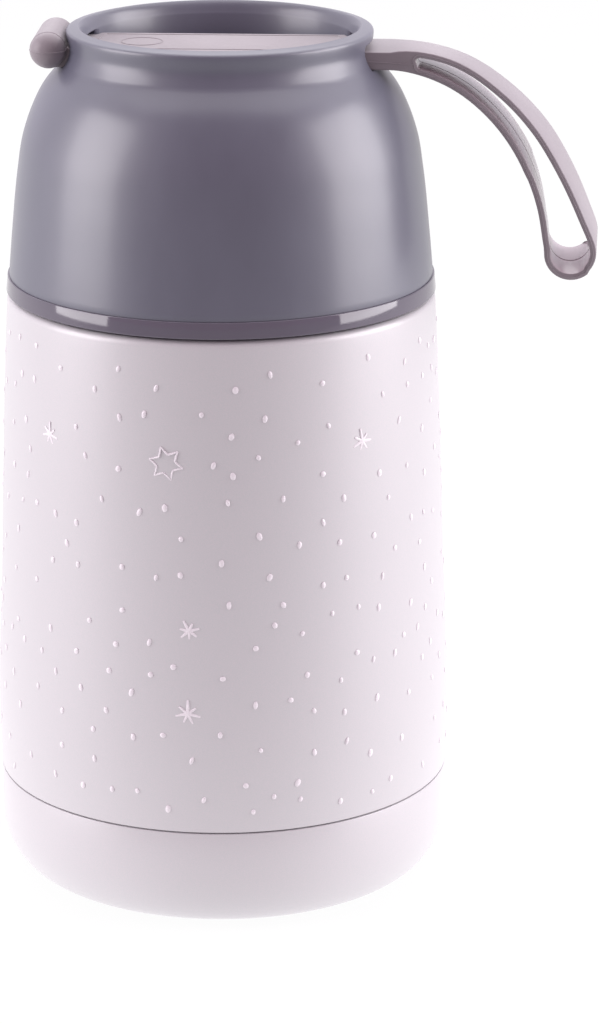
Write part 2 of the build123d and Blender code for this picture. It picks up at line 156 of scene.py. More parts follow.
def beside(points: list[Vector], inset: float) -> list[Vector]:
    """A line beside another in the XZ plane, on the right of its direction.

    Args:
        points: The line.
        inset: How far beside it the new line runs.

    Returns:
        The new line's points.
    """
    moved = []
    for index, point in enumerate(points):
        run = points[min(index + 1, len(points) - 1)] - points[max(index - 1, 0)]
        run.normalize()
        moved.append(point + Vector((run.z, 0, -run.x)) * inset)
    return moved


def divided(points: list[Vector], longest: float) -> list[Vector]:
    """A closed line whose long runs are split evenly.

    Args:
        points: The line.
        longest: The longest run that stays whole.

    Returns:
        The line with its new points.
    """
    split = []
    for start, end in zip(points, points[1:] + points[:1]):
        parts = max(1, math.ceil((end - start).length / longest))
        split += [start.lerp(end, part / parts) for part in range(parts)]
    return split


def side_key(place: Vector) -> tuple[float, float]:
    """A place in the side view, rounded so that two of them can be compared."""
    return round(place.x, DECIMALS), round(place.z, DECIMALS)


class Outline:
    """A line in the XZ plane, drawn on from station to station."""

    def __init__(self, radius: float, height: float) -> None:
        """Starts the line at one station."""
        self.points = [Vector((radius, 0.0, height))]

    def line(self, *stations: Station) -> "Outline":
        """Adds straight runs to each station in turn, and none to the place where it already is."""
        for radius, height in stations:
            point = Vector((radius, 0.0, height))
            if (point - self.points[-1]).length > MERGE_DISTANCE:
                self.points.append(point)
        return self

    def arc(self, centre: Station, radius: float, start: float, turn: float, steps: int = 8) -> "Outline":
        """Adds a round stretch.

        Args:
            centre: Radius and height of the arc's centre.
            radius: The arc's own radius.
            start: Angle at which it starts, in degrees from +X.
            turn: Degrees that it turns through, anticlockwise.
            steps: Number of runs.

        Returns:
            The outline itself.
        """
        for step in range(steps + 1):
            angle = math.radians(start + turn * step / steps)
            self.line((centre[0] + radius * math.cos(angle), centre[1] + radius * math.sin(angle)))
        return self

    def flow(
        self,
        stations: list[Station],
        leave: Station | None = None,
        arrive: Station | None = None,
        steps: int = 7,
    ) -> "Outline":
        """Adds one smooth curve from the last point through each station.

        Args:
            stations: Radius and height of each station.
            leave: Direction in which the curve starts, if it is given.
            arrive: Direction in which the curve ends, if it is given.
            steps: Number of runs between two stations.

        Returns:
            The outline itself.
        """
        knots = [self.points[-1]] + [Vector((radius, 0.0, height)) for radius, height in stations]
        leans = [Vector((lean[0], 0.0, lean[1])).normalized() if lean else None for lean in (leave, arrive)]
        self.points += smooth_run(knots, *leans, steps)
        return self


def finished(bm: Mesh, name: str) -> Piece:
    """Turns a bmesh into an object at the origin, smooth except at its sharp edges.

    Args:
        bm: The mesh, which is freed.
        name: Name of the object and of its mesh.

    Returns:
        The new object.
    """
    mesh = bpy.data.meshes.new(name)
    bm.to_mesh(mesh)
    bm.free()
    mesh.shade_smooth()
    mesh.set_sharp_from_angle(angle=SHARP_ANGLE)
    piece = bpy.data.objects.new(name, mesh)
    bpy.context.scene.collection.objects.link(piece)
    return piece


def drawn(bm: Mesh, points: list[Vector], closed: bool) -> tuple[list, list]:
    """Lays a run of vertices and edges into a bmesh.

    Args:
        bm: The mesh.
        points: Places of the vertices.
        closed: Whether the last vertex joins the first.

    Returns:
        The vertices and the edges.
    """
    verts = [bm.verts.new(point) for point in points]
    pairs = list(zip(verts, verts[1:]))
    if closed:
        pairs.append((verts[-1], verts[0]))
    return verts, [bm.edges.new(pair) for pair in pairs]


def soften(bm: Mesh, width: float) -> None:
    """Rounds every sharp edge of a mesh by a small bevel.

    Args:
        bm: The mesh.
        width: Width of the bevel.
    """
    sharp = [edge for edge in bm.edges if edge.is_manifold and edge.calc_face_angle() > SHARP_ANGLE]
    bmesh.ops.bevel(
        bm,
        geom=sharp,
        offset=width,
        segments=BEVEL_SEGMENTS,
        affect="EDGES",
        profile=0.5,
        clamp_overlap=True,
        material=-1,
    )


def round_rim(bm: Mesh, faces: list[bmesh.types.BMFace], radius: float) -> None:
    """Raises a flat region in ever narrower steps, so that its rim becomes a quarter round.

    Args:
        bm: The mesh.
        faces: The flat region.
        radius: Radius of the round, which is also how far the region rises.
    """
    up = faces[0].normal.copy()
    turns = [math.pi / 2 * step / ROUND_STEPS for step in range(ROUND_STEPS + 1)]
    for low, high in zip(turns, turns[1:]):
        width = radius * (math.cos(low) - math.cos(high))
        bmesh.ops.inset_region(bm, faces=faces, use_boundary=True, use_even_offset=True, thickness=width)
        verts = list({vert for face in faces for vert in face.verts})
        bmesh.ops.translate(bm, vec=up * radius * (math.sin(high) - math.sin(low)), verts=verts)


def lofted(bm: Mesh, rings: list[list[Vector]], closed: bool) -> None:
    """Bridges a row of equal rings into a tube.

    Args:
        bm: The mesh that it joins.
        rings: Points of each ring.
        closed: Whether the last ring joins the first. An open tube gets two end faces.
    """
    loops = [drawn(bm, ring, True)[1] for ring in rings]
    pairs = list(zip(loops, loops[1:]))
    if closed:
        pairs.append((loops[-1], loops[0]))
    for near, far in pairs:
        bmesh.ops.bridge_loops(bm, edges=near + far)
    if not closed:
        for end in (loops[0], loops[-1]):
            bmesh.ops.edgeloop_fill(bm, edges=end)


def bead(bm: Mesh, path: list[Vector], out: Vector, radius: float, closed: bool) -> None:
    """Lays a thin round bead along a line of a flat face.

    Args:
        bm: The mesh that it joins.
        path: The line.
        out: Direction out of the face.
        radius: The bead's radius.
        closed: Whether the line closes.
    """
    count = len(path)
    turns = [math.tau * side / BEAD_SIDES for side in range(BEAD_SIDES)]
    rings = []
    for index, point in enumerate(path):
        after = path[(index + 1) % count] if closed else path[min(index + 1, count - 1)]
        before = path[index - 1] if closed else path[max(index - 1, 0)]
        side = out.cross((after - before).normalized())
        rings.append([point + (out * math.cos(turn) + side * math.sin(turn)) * radius for turn in turns])
    lofted(bm, rings, closed)


def only(items: list, kind: type) -> list:
    """The items of one kind, out of what a bmesh operator made."""
    return [item for item in items if isinstance(item, kind)]


def facing(bm: Mesh, out: Vector) -> list[bmesh.types.BMFace]:
    """The faces of a mesh that face one way."""
    return [face for face in bm.faces if face.normal.dot(out) > FACING]


def swept(
    bm: Mesh,
    points: list[Vector],
    closed: bool,
    angle: float,
    steps: int,
    rise: float = 0.0,
) -> None:
    """Sweeps a line about the Z axis, as a full spin that closes on itself or as a screw.

    Args:
        bm: The mesh that it joins.
        points: The line.
        closed: Whether the line's last point joins its first.
        angle: How far it turns.
        steps: Number of columns.
        rise: How far it rises in all. Without a rise the ends of the sweep are merged.
    """
    verts, edges = drawn(bm, points, closed)
    bmesh.ops.spin(
        bm,
        geom=verts + edges,
        cent=(0, 0, 0),
        axis=UP,
        dvec=UP * rise / steps,
        angle=angle,
        steps=steps,
        use_merge=not rise,
    )


def turned(outline: Outline, closed: bool, steps: int) -> Mesh:
    """Spins a half section once about the Z axis.

    Args:
        outline: The half section.
        closed: True for a ring, and False for a section that starts and ends on the axis.
        steps: Number of columns.

    Returns:
        The new mesh.
    """
    bm = bmesh.new()
    swept(bm, outline.points, closed, math.tau, steps)
    bmesh.ops.remove_doubles(bm, verts=bm.verts, dist=MERGE_DISTANCE)
    bmesh.ops.recalc_face_normals(bm, faces=bm.faces)
    return bm


def spun(name: str, outline: Outline, closed: bool, edge_round: float = 0.0) -> Piece:
    """Makes a round piece of a half section.

    Args:
        name: Name of the piece.
        outline: Its half section.
        closed: True for a ring, and False for a section that starts and ends on the axis.
        edge_round: Width of the bevel on its sharp edges.

    Returns:
        The new object.
    """
    bm = turned(outline, closed, SPIN_STEPS)
    if edge_round:
        soften(bm, edge_round)
    return finished(bm, name)


def dress(piece: Piece, material: Material) -> None:
    """Gives a piece or a CAD node one material on all its faces."""
    if not piece.material_slots:
        piece.data.materials.append(material)
    for slot in piece.material_slots:
        slot.material = material


def seat(piece: Piece, body: str, slot: str, material: Material, *nodes: str) -> None:
    """Dresses a new piece, lets it ride on a body and hides any CAD nodes that it replaces.

    Args:
        piece: The new piece.
        body: Body of the frame that carries it.
        slot: Not used.
        material: Its finish.
        *nodes: CAD nodes that it replaces.
    """
    dress(piece, material)
    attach(piece, body)
    if nodes:
        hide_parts(*nodes)
    log.info("%s rides on %s: %d faces", piece.name, body, len(piece.data.polygons))


@dataclass(frozen=True)
class Thread:
    """Four helical lugs that catch behind four others."""

    lead: float = 0.024
    starts: int = 4
    sector: float = math.radians(52)
    root_width: float = 0.0026
    crest_width: float = 0.0012
    height: float = 0.0014
    bite: float = 0.0003
    edge_round: float = 0.0014 / 6
    steps: int = 24

    def build(self, name: str, root_radius: float, direction: int, low: float) -> Piece:
        """Spins the lugs up round a cylinder.

        Args:
            name: Name of the piece.
            root_radius: Radius of the cylinder that carries the lugs.
            direction: 1 for lugs that stand outwards and -1 for lugs that stand inwards.
            low: Height of the middle of a lug's lower end.

        Returns:
            The new object with all the lugs.
        """
        foot = root_radius - direction * self.bite
        flank = root_radius
        crest = root_radius + direction * self.height
        section = Outline(foot, low - self.root_width / 2).line(
            (flank, low - self.root_width / 2),
            (crest, low - self.crest_width / 2),
            (crest, low + self.crest_width / 2),
            (flank, low + self.root_width / 2),
            (foot, low + self.root_width / 2),
        )
        bm = bmesh.new()
        for start in range(self.starts):
            turn = Matrix.Rotation(math.tau * start / self.starts, 3, "Z")
            lug = [turn @ point for point in section.points]
            rise = self.lead * self.sector / math.tau
            swept(bm, lug, True, self.sector, self.steps, rise)
        bmesh.ops.holes_fill(bm, edges=bm.edges, sides=0)
        bmesh.ops.recalc_face_normals(bm, faces=bm.faces)
        soften(bm, self.edge_round)
        return finished(bm, name)


# ---- finishes
class Nodes:
    """A node tree that grows node by node."""

    def __init__(self, tree: bpy.types.NodeTree) -> None:
        """Takes up the tree."""
        self.nodes = tree.nodes
        self.links = tree.links

    def node(
        self,
        kind: str,
        output: str | int,
        inputs: dict[str | int, Socket | float | Colour] | None = None,
        **settings: str,
    ) -> Socket:
        """Adds one node.

        Args:
            kind: Its type, without ShaderNode in front.
            output: Name or number of the output that is wanted.
            inputs: A socket to link, or a value, for each input that is named or numbered.
            **settings: Options of the node, such as its operation.

        Returns:
            The output's socket.
        """
        made = self.nodes.new("ShaderNode" + kind)
        for name, value in settings.items():
            setattr(made, name, value)
        for name, value in (inputs or {}).items():
            socket = made.inputs[name]
            if isinstance(value, Socket):
                self.links.new(value, socket)
            else:
                socket.default_value = (*value, 1.0) if socket.type == "RGBA" else value
        return made.outputs[output]

    def ease(self, value: Socket, reach: Station, result: Station) -> Socket:
        """Eases from one value to another while an input crosses a range.

        Args:
            value: The input.
            reach: Where the range starts and ends.
            result: Values at its start and its end.

        Returns:
            The eased value.
        """
        ends = {"From Min": reach[0], "From Max": reach[1], "To Min": result[0], "To Max": result[1]}
        return self.node("MapRange", "Result", {"Value": value, **ends}, interpolation_type="SMOOTHSTEP")


class Graph(Nodes):
    """The node graph of one material, grown round its shader."""

    noise_middle: Station = (0.3, 0.7)

    def __init__(self, name: str) -> None:
        """Starts a material with its shader and its Object coordinates."""
        self.material = bpy.data.materials.new(WORKED + name)
        self.material.use_nodes = True
        super().__init__(self.material.node_tree)
        self.shader = self.nodes["Principled BSDF"]
        self.place = self.node("TexCoord", "Object")

    def fix(self, **values: float | Colour) -> None:
        """Sets constant sockets of the shader, with underscores for the spaces in their names."""
        for name, value in values.items():
            socket = self.shader.inputs[name.replace("_", " ").title().replace("Ior", "IOR")]
            socket.default_value = (*value, 1.0) if socket.type == "RGBA" else value

    def grain(self, size: float, detail: float = FINE, stretch: Colour = WHITE) -> Socket:
        """Noise whose lumps are about one size.

        Args:
            size: Size of a lump in metres.
            detail: Octaves of finer noise: COARSE, SMOOTH, FINE or RICH.
            stretch: How many times finer the noise is along each axis.

        Returns:
            The noise's factor, from 0 to 1.
        """
        place = self.node("Mapping", "Vector", {"Vector": self.place, "Scale": stretch})
        return self.node("TexNoise", "Fac", {"Vector": place, "Scale": 1 / size, "Detail": detail})

    def span(self, factor: Socket, low: float, high: float) -> Socket:
        """Spreads the middle of a noise over a range of values.

        Args:
            factor: The noise.
            low: Lowest value.
            high: Highest value.

        Returns:
            The value.
        """
        start, end = self.noise_middle
        ends = {"From Min": start, "From Max": end, "To Min": low, "To Max": high}
        return self.node("MapRange", "Result", {"Value": factor, **ends})

    def blend(self, factor: Socket, low: Colour, high: Colour) -> None:
        """Gives the shader a base colour that wanders between two colours.

        Args:
            factor: The noise that it follows.
            low: Colour where the noise is low.
            high: Colour where the noise is high.
        """
        share = self.span(factor, 0.0, 1.0)
        colour = self.node("Mix", "Result", {"Factor": share, "A": low, "B": high}, data_type="RGBA")
        self.links.new(colour, self.shader.inputs["Base Color"])

    def rough(self, factor: Socket, low: float, high: float) -> None:
        """Lets the roughness wander between two values."""
        self.links.new(self.span(factor, low, high), self.shader.inputs["Roughness"])

    def bump(self, factor: Socket, depth: float) -> None:
        """Lays a bump of one depth in metres on the surface."""
        normal = self.node("Bump", "Normal", {"Height": factor, "Strength": 1.0, "Distance": depth})
        self.links.new(normal, self.shader.inputs["Normal"])


def shade(colour: Colour, factor: float) -> Colour:
    """A darker or lighter form of a colour."""
    return tuple(min(1.0, share * factor) for share in colour)


@dataclass(frozen=True)
class PearlPaint:
    """Lacquer with fine mica over a primed steel shell."""

    name: str = "pearl_paint"
    colour: Colour = srgb(202, 197, 201)
    cool: Colour = srgb(196, 195, 198)
    mica_size: float = 0.00025
    drift_size: float = 0.03
    peel_size: float = 0.0016
    peel_depth: float = 0.000004
    metallic: float = 0.08
    roughness: Station = (0.34, 0.40)
    coat: float = 0.25
    coat_roughness: float = 0.2

    def build(self) -> Material:
        """Mixes the paint."""
        graph = Graph(self.name)
        mica = graph.grain(self.mica_size, COARSE)
        peel = graph.grain(self.peel_size, SMOOTH)
        graph.blend(mica, self.colour, self.cool)
        graph.rough(graph.grain(self.drift_size), *self.roughness)
        graph.bump(peel, self.peel_depth)
        graph.fix(metallic=self.metallic, coat_weight=self.coat, coat_roughness=self.coat_roughness)
        return graph.material


@dataclass(frozen=True)
class RaisedInk:
    """Thick white screen ink that stands up from the paint."""

    name: str = "raised_ink"
    colour: Colour = srgb(232, 226, 231)
    dull: Colour = srgb(225, 218, 224)
    patch_size: float = 0.0006
    patch_depth: float = 0.00001
    roughness: Station = (0.25, 0.4)

    def build(self) -> Material:
        """Mixes the ink."""
        graph = Graph(self.name)
        patches = graph.grain(self.patch_size)
        graph.blend(patches, self.dull, self.colour)
        graph.rough(patches, *self.roughness)
        graph.bump(patches, self.patch_depth)
        return graph.material


@dataclass(frozen=True)
class Plastic:
    """A moulded plastic with fine grain, faint flow marks and slight mottling."""

    name: str
    colour: Colour
    roughness: Station
    grain_size: float = 0.00035
    grain_depth: float = 0.000006
    flow_size: float = 0.012
    flow_stretch: Colour = (1.0, 1.0, 0.45)
    mottle: float = 0.08
    coat: float = 0.0
    coat_roughness: float = 0.05
    index: float = 1.5

    def build(self) -> Material:
        """Mixes the plastic."""
        graph = Graph(self.name)
        flow = graph.grain(self.flow_size, RICH, self.flow_stretch)
        fine = graph.grain(self.grain_size)
        graph.blend(flow, shade(self.colour, 1 - self.mottle), shade(self.colour, 1 + self.mottle))
        graph.rough(flow, *self.roughness)
        graph.bump(fine, self.grain_depth)
        graph.fix(coat_weight=self.coat, coat_roughness=self.coat_roughness, ior=self.index)
        return graph.material


@dataclass(frozen=True)
class Silicone:
    """A soft moulded rubber with a dusty sheen."""

    name: str
    colour: Colour
    roughness: Station
    sheen: float
    dust_size: float = 0.0007
    dust_depth: float = 0.000008
    cloud_size: float = 0.0007 * 12
    mottle: float = 0.05
    index: float = 1.45
    sheen_roughness: float = 0.45

    def build(self) -> Material:
        """Mixes the rubber."""
        graph = Graph(self.name)
        dust = graph.grain(self.dust_size, RICH)
        cloud = graph.grain(self.cloud_size)
        graph.blend(cloud, shade(self.colour, 1 - self.mottle), shade(self.colour, 1 + self.mottle))
        graph.rough(dust, *self.roughness)
        graph.bump(dust, self.dust_depth)
        graph.fix(sheen_weight=self.sheen, sheen_roughness=self.sheen_roughness, ior=self.index)
        return graph.material


@dataclass(frozen=True)
class Metal:
    """A bare metal with brush lines or creases."""

    name: str
    colour: Colour
    roughness: Station
    line_size: float
    line_depth: float
    stretch: Colour = WHITE
    tarnish: float = 0.12
    cloud_size: float = 0.02

    def build(self) -> Material:
        """Works the metal's surface."""
        graph = Graph(self.name)
        lines = graph.grain(self.line_size, RICH, self.stretch)
        cloud = graph.grain(self.cloud_size)
        graph.blend(cloud, shade(self.colour, 1 - self.tarnish), self.colour)
        graph.rough(lines, *self.roughness)
        graph.bump(lines, self.line_depth)
        graph.fix(metallic=1.0)
        return graph.material


@dataclass(frozen=True)
class Foam:
    """Open cells of a pale insulating foam."""

    name: str = "foam"
    colour: Colour = srgb(243, 239, 226)
    cell_size: float = 0.0009
    cell_depth: float = 0.00035
    cell_painted_shade: float = 0.7
    roughness: float = 0.95

    def build(self) -> Material:
        """Grows the cells."""
        graph = Graph(self.name)
        cells = graph.node("TexVoronoi", "Distance", {"Vector": graph.place, "Scale": 1 / self.cell_size})
        # Painted shade: each cell's colour darkens towards its middle, where its hollow lies.
        graph.blend(cells, shade(self.colour, self.cell_painted_shade), self.colour)
        graph.bump(cells, self.cell_depth)
        graph.fix(roughness=self.roughness)
        return graph.material


class Part(Enum):
    """The finish of each kind of part."""

    PAINT = PearlPaint()
    INK = RaisedInk()
    SLATE = Plastic(
        "slate_plastic",
        srgb(89, 89, 104),
        (0.37, 0.43),
        mottle=0.05,
        coat=0.3,
        coat_roughness=0.2,
        index=1.75,
    )
    GLOSS = Plastic("gloss_grey", srgb(94, 88, 101), (0.06, 0.09), grain_depth=0.0, mottle=0.03, index=1.63)
    STRAP = Silicone("grey_silicone", srgb(137, 128, 134), (0.38, 0.46), 0.25)
    # Silicone for the slit's inside: glossier than the strap, and its lighter colour is painted light,
    # standing for lamp light that reaches into the slit.
    POLISHED = Silicone("polished_silicone_painted_light", srgb(192, 178, 185), (0.12, 0.20), 0.1, index=1.65)
    GASKET = Silicone("clear_silicone", srgb(228, 228, 224), (0.35, 0.45), 0.1)
    STOPPER = Plastic("stopper_plastic", srgb(205, 203, 206), (0.4, 0.5))
    BUTTON = Plastic("button_plastic", srgb(120, 115, 126), (0.38, 0.48))
    STEEL = Metal("brushed_steel", srgb(205, 205, 207), (0.22, 0.34), 0.004, 0.000004, (1.0, 1.0, 30.0))
    BRAZE = Metal("braze", srgb(196, 170, 122), (0.3, 0.5), 0.002, 0.00002)
    FOIL = Metal("foil", srgb(226, 226, 228), (0.12, 0.28), 0.006, 0.0003)
    GETTER = Metal("getter_metal", srgb(120, 120, 124), (0.45, 0.6), 0.0008, 0.00002)
    SPRING = Metal("spring_steel", srgb(214, 214, 216), (0.15, 0.22), 0.0004, 0.000002)
    FOAM = Foam()

    def material(self) -> Material:
        """The material itself, mixed once and shared."""
        return bpy.data.materials.get(WORKED + self.value.name) or self.value.build()


# ---- flask
@dataclass
class Flask:
    """The painted shell with its steel neck, and the base cap pressed under it."""

    belly: Station = (0.0510, 0.0340)
    waist: Station = (0.04975, 0.0725)
    chest: Station = (0.0483, 0.1130)
    shoulder: Station = (0.0474, 0.1330)
    shoulder_round: float = 0.0016
    seam: Station = (0.05075, 0.0242)
    shell_wall: float = 0.0006
    skirt_radius: float = 0.0499
    skirt_foot: float = 0.0135
    neck_radius: float = 0.0412
    neck_top: float = 0.1484
    lug_height: float = 0.1431
    seam_gap: float = 0.00035
    cap_wall: float = 0.0008
    floor_radius: float = 0.0415
    base_round_height: float = 0.0131
    groove: Station = (0.0270, 0.0330)
    groove_depth: float = 0.0010
    edge_round: float = 0.00015

    def wall(self) -> Outline:
        """The outside of the painted wall, from the seam up to the shoulder's round."""
        return Outline(*self.seam).flow(
            [self.belly, self.waist, self.chest, (self.shoulder[0], self.shoulder[1] - self.shoulder_round)]
        )

    def radius_at(self, height: float) -> float:
        """Outside radius of the painted wall at a height."""
        return crossing(self.wall().points, 2, height).x

    def shell(self) -> Piece:
        """Spins the shell: its outside up to the lip, and back down its inside."""
        wall = self.shell_wall
        radius, top = self.shoulder
        centre = (radius - self.shoulder_round, top - self.shoulder_round)
        section = self.wall().arc(centre, self.shoulder_round, 0, 90)
        section.line((self.neck_radius, top), (self.neck_radius, self.neck_top))
        section.line((self.neck_radius - wall, self.neck_top), (self.neck_radius - wall, top - wall))
        section.arc(centre, self.shoulder_round - wall, 90, -90)
        section.line(*[(point.x - wall, point.z) for point in reversed(self.wall().points)])
        section.line(
            (self.skirt_radius - wall, self.seam[1]),
            (self.skirt_radius - wall, self.skirt_foot),
            (self.skirt_radius, self.skirt_foot),
            (self.skirt_radius, self.seam[1] - wall),
            (self.seam[0], self.seam[1] - wall),
        )
        return spun("outer_shell_wall", section, True, self.edge_round)

    def cap(self) -> Piece:
        """Spins the base cap with its stamped groove."""
        wall = self.cap_wall
        top = self.seam[1] - self.shell_wall - self.seam_gap
        inner, outer = self.groove
        width = self.seam[0] - self.floor_radius
        section = Outline(0.0, 0.0).line(
            (inner, 0.0), (inner + wall, self.groove_depth), (outer - wall, self.groove_depth), (outer, 0.0)
        )
        section.line(*self.base_round(width, self.base_round_height, 0.0))
        section.line((self.seam[0], top), (self.seam[0] - wall, top))
        section.line(*reversed(self.base_round(width - wall, self.base_round_height - wall, wall)))
        section.line(
            (outer + wall, wall),
            (outer, self.groove_depth + wall),
            (inner, self.groove_depth + wall),
            (inner - wall, wall),
            (0.0, wall),
        )
        return spun("base_cap_shell", section, False, self.edge_round)

    def base_round(self, width: float, height: float, floor: float, steps: int = 24) -> list[Station]:
        """A quarter of an ellipse, from the floor up to the cap's side.

        Args:
            width: Half of the ellipse across.
            height: Half of the ellipse up.
            floor: Height at which it starts.
            steps: Number of runs.

        Returns:
            The stations along it.
        """
        turns = [math.pi / 2 * step / steps for step in range(steps + 1)]
        return [
            (self.floor_radius + width * math.sin(turn), floor + height * (1 - math.cos(turn)))
            for turn in turns
        ]

    def build(self) -> None:
        """Builds and dresses the flask's outside."""
        paint = Part.PAINT.material()
        steel = Part.STEEL.material()
        seat(self.shell(), "jar", "pearl_paint", paint, "outer_shell")
        seat(self.cap(), "jar", "pearl_paint", paint, "base_cap")
        thread = Thread().build("neck_thread", self.neck_radius, 1, self.lug_height)
        seat(thread, "jar", "brushed_steel", steel)


# ---- raised print
class StarKind(Enum):
    """How a star is drawn."""

    OUTLINE = "outline"
    STROKES = "strokes"


@dataclass(frozen=True)
class Star:
    """One star of the print: its place on the wall and its shape."""

    kind: StarKind
    angle: float
    height: float
    arms: int
    reach: float
    tilt: float


@dataclass
class Print:
    """White ink dots and stars, raised on the painted wall."""

    flask: Flask
    low: float = 0.0275
    high: float = 0.1270
    dots: int = 400
    dot_width: Station = (0.0009, 0.0014)
    dot_height: Station = (0.0012, 0.0020)
    dot_rise: float = 0.00030
    stroke_radius: float = 0.00042
    line_radius: float = 0.00022
    ink_rise: float = 0.00022
    star_margin: float = 0.0016
    tries: int = 12
    seed: int = 5
    cloud_grain: Station = (45.0, 60.0)
    cloud_pull: float = 0.0022
    dot_sides: tuple[int, int] = (9, 5)
    dot_lean: float = 25.0
    stroke_sides: int = 10
    stroke_taper: float = 0.5
    arm_lengths: tuple[float, float, float] = (0.70, 0.80, 0.90)
    notch: float = 0.56
    line_bend: float = 0.95
    line_laps: Station = (0.98, 0.99)
    line_taper: float = 0.7
    stars: tuple[Star, ...] = (
        Star(StarKind.OUTLINE, -100.3, 0.1064, 6, 0.0038, 17),
        Star(StarKind.STROKES, -136.0, 0.1085, 7, 0.0028, 0),
        Star(StarKind.STROKES, -47.8, 0.1086, 7, 0.0028, 10),
        Star(StarKind.STROKES, -94.5, 0.0696, 7, 0.0026, 28),
        Star(StarKind.STROKES, -94.8, 0.0510, 7, 0.0031, 0),
        Star(StarKind.OUTLINE, 20.0, 0.0830, 6, 0.0041, -10),
        Star(StarKind.STROKES, 62.0, 0.1050, 7, 0.0029, 15),
        Star(StarKind.STROKES, 88.0, 0.0560, 7, 0.0027, 5),
        Star(StarKind.OUTLINE, 118.0, 0.0920, 6, 0.0040, 14),
        Star(StarKind.STROKES, 152.0, 0.0640, 7, 0.0029, -12),
        Star(StarKind.STROKES, 6.0, 0.0460, 7, 0.0028, 30),
    )

    def wrap(self, angle: float, height: float) -> Matrix:
        """Where a flat drawing lies on the wall.

        Args:
            angle: Degrees about the jar's axis, from +X.
            height: Height above the ground.

        Returns:
            The matrix that sets X round the wall, Y up it and Z out of it.
        """
        turn = Matrix.Rotation(math.radians(angle + 90), 4, "Z") @ Matrix.Rotation(math.pi / 2, 4, "X")
        out = Vector((math.cos(math.radians(angle)), math.sin(math.radians(angle)), 0.0))
        spot = out * self.flask.radius_at(height) + Vector((0.0, 0.0, height))
        return Matrix.Translation(spot) @ turn

    def scatter(self) -> list[tuple[float, float]]:
        """Spreads the dots: each new one takes the most open of a few chance places.

        Returns:
            The angle in degrees and the height of each dot.
        """
        chance = random.Random(self.seed)
        girth = math.tau * self.flask.belly[0]
        placed = [(math.radians(s.angle) / math.tau % 1 * girth, s.height, s.reach) for s in self.stars]
        found = []
        for _ in range(self.dots):
            best = None
            for _ in range(self.tries):
                spot = (chance.random() * girth, chance.uniform(self.low, self.high))
                room = min(
                    math.hypot(min(abs(spot[0] - x), girth - abs(spot[0] - x)), spot[1] - z) - reach
                    for x, z, reach in placed
                )
                grain = (spot[0] * self.cloud_grain[0], spot[1] * self.cloud_grain[1], self.seed)
                score = room + self.cloud_pull * noise.noise(Vector(grain))
                if room > self.star_margin and (best is None or score > best[0]):
                    best = (score, spot)
            if best:
                placed.append((*best[1], 0.0))
                found.append((math.degrees(best[1][0] / self.flask.belly[0]), best[1][1]))
        return found

    def dot_sheet(self) -> Piece:
        """Builds all the dots as one piece."""
        chance = random.Random(self.seed + 1)
        single = bmesh.new()
        round_sides, up_sides = self.dot_sides
        bmesh.ops.create_uvsphere(single, u_segments=round_sides, v_segments=up_sides, radius=1.0)
        dot = bpy.data.meshes.new("dot")
        single.to_mesh(dot)
        single.free()
        bm = bmesh.new()
        for angle, height in self.scatter():
            width, length = chance.uniform(*self.dot_width), chance.uniform(*self.dot_height)
            size = Matrix.Diagonal((width / 2, length / 2, self.dot_rise, 1.0))
            lean = Matrix.Rotation(math.radians(chance.uniform(-self.dot_lean, self.dot_lean)), 4, "Z")
            known = len(bm.verts)
            bm.from_mesh(dot)
            bm.verts.ensure_lookup_table()
            bmesh.ops.transform(bm, matrix=self.wrap(angle, height) @ lean @ size, verts=bm.verts[known:])
        bpy.data.meshes.remove(dot)
        return finished(bm, "printed_dots")

    def stroke(self, bm: Mesh, start: Vector, end: Vector, foot: float, tip: float) -> None:
        """Draws one ink stroke in the star's plane.

        Args:
            bm: Mesh that it joins.
            start: Its thick end.
            end: Its thin end.
            foot: Half its width at the thick end.
            tip: Half its width at the thin end.
        """
        run = end - start
        aim = Matrix.Rotation(math.atan2(run.y, run.x), 4, "Z") @ Matrix.Rotation(math.pi / 2, 4, "Y")
        flatten = Matrix.Diagonal((1.0, 1.0, self.ink_rise / foot, 1.0))
        bmesh.ops.create_cone(
            bm,
            cap_ends=True,
            segments=self.stroke_sides,
            radius1=foot,
            radius2=tip,
            depth=run.length,
            matrix=Matrix.Translation((start + end) / 2) @ flatten @ aim,
        )

    def star(self, star: Star) -> Piece:
        """Builds one star, bent round the wall.

        Args:
            star: Its place and shape.

        Returns:
            The new object.
        """
        bm = bmesh.new()
        turns = [math.radians(star.tilt) + math.tau * arm / star.arms for arm in range(star.arms)]
        spokes = [Matrix.Rotation(turn, 3, "Z") @ Vector((0, 1, 0)) for turn in turns]
        if star.kind is StarKind.STROKES:
            thick, thin = self.stroke_radius, self.stroke_radius * self.stroke_taper
            for index, spoke in enumerate(spokes):
                reach = star.reach * (self.arm_lengths[index % len(self.arm_lengths)] if index else 1.0)
                self.stroke(bm, Vector(), spoke * reach, thick, thin)
        else:
            half = Matrix.Rotation(math.pi / star.arms, 3, "Z")
            thick, thin = self.line_radius, self.line_radius * self.line_taper
            inner_lap, outer_lap = self.line_laps
            for index, spoke in enumerate(spokes):
                inner = half @ spoke * star.reach * self.notch
                after = spokes[(index + 1) % star.arms] * star.reach
                for tip in (spoke * star.reach, after):
                    bend = (tip + inner) / 2 * self.line_bend
                    self.stroke(bm, inner * inner_lap, bend, thick, thick)
                    self.stroke(bm, bend * outer_lap, tip, thick, thin)
        place = self.wrap(star.angle, star.height)
        radius = self.flask.radius_at(star.height)
        for vert in bm.verts:
            vert.co.z -= radius * (1 - math.cos(vert.co.x / radius))
        bmesh.ops.transform(bm, matrix=place, verts=bm.verts)
        return finished(bm, f"printed_star_{self.stars.index(star)}")

    def build(self) -> None:
        """Builds and dresses the print."""
        ink = Part.INK.material()
        seat(self.dot_sheet(), "jar", "pearl_paint", ink)
        for star in self.stars:
            seat(self.star(star), "jar", "pearl_paint", ink)


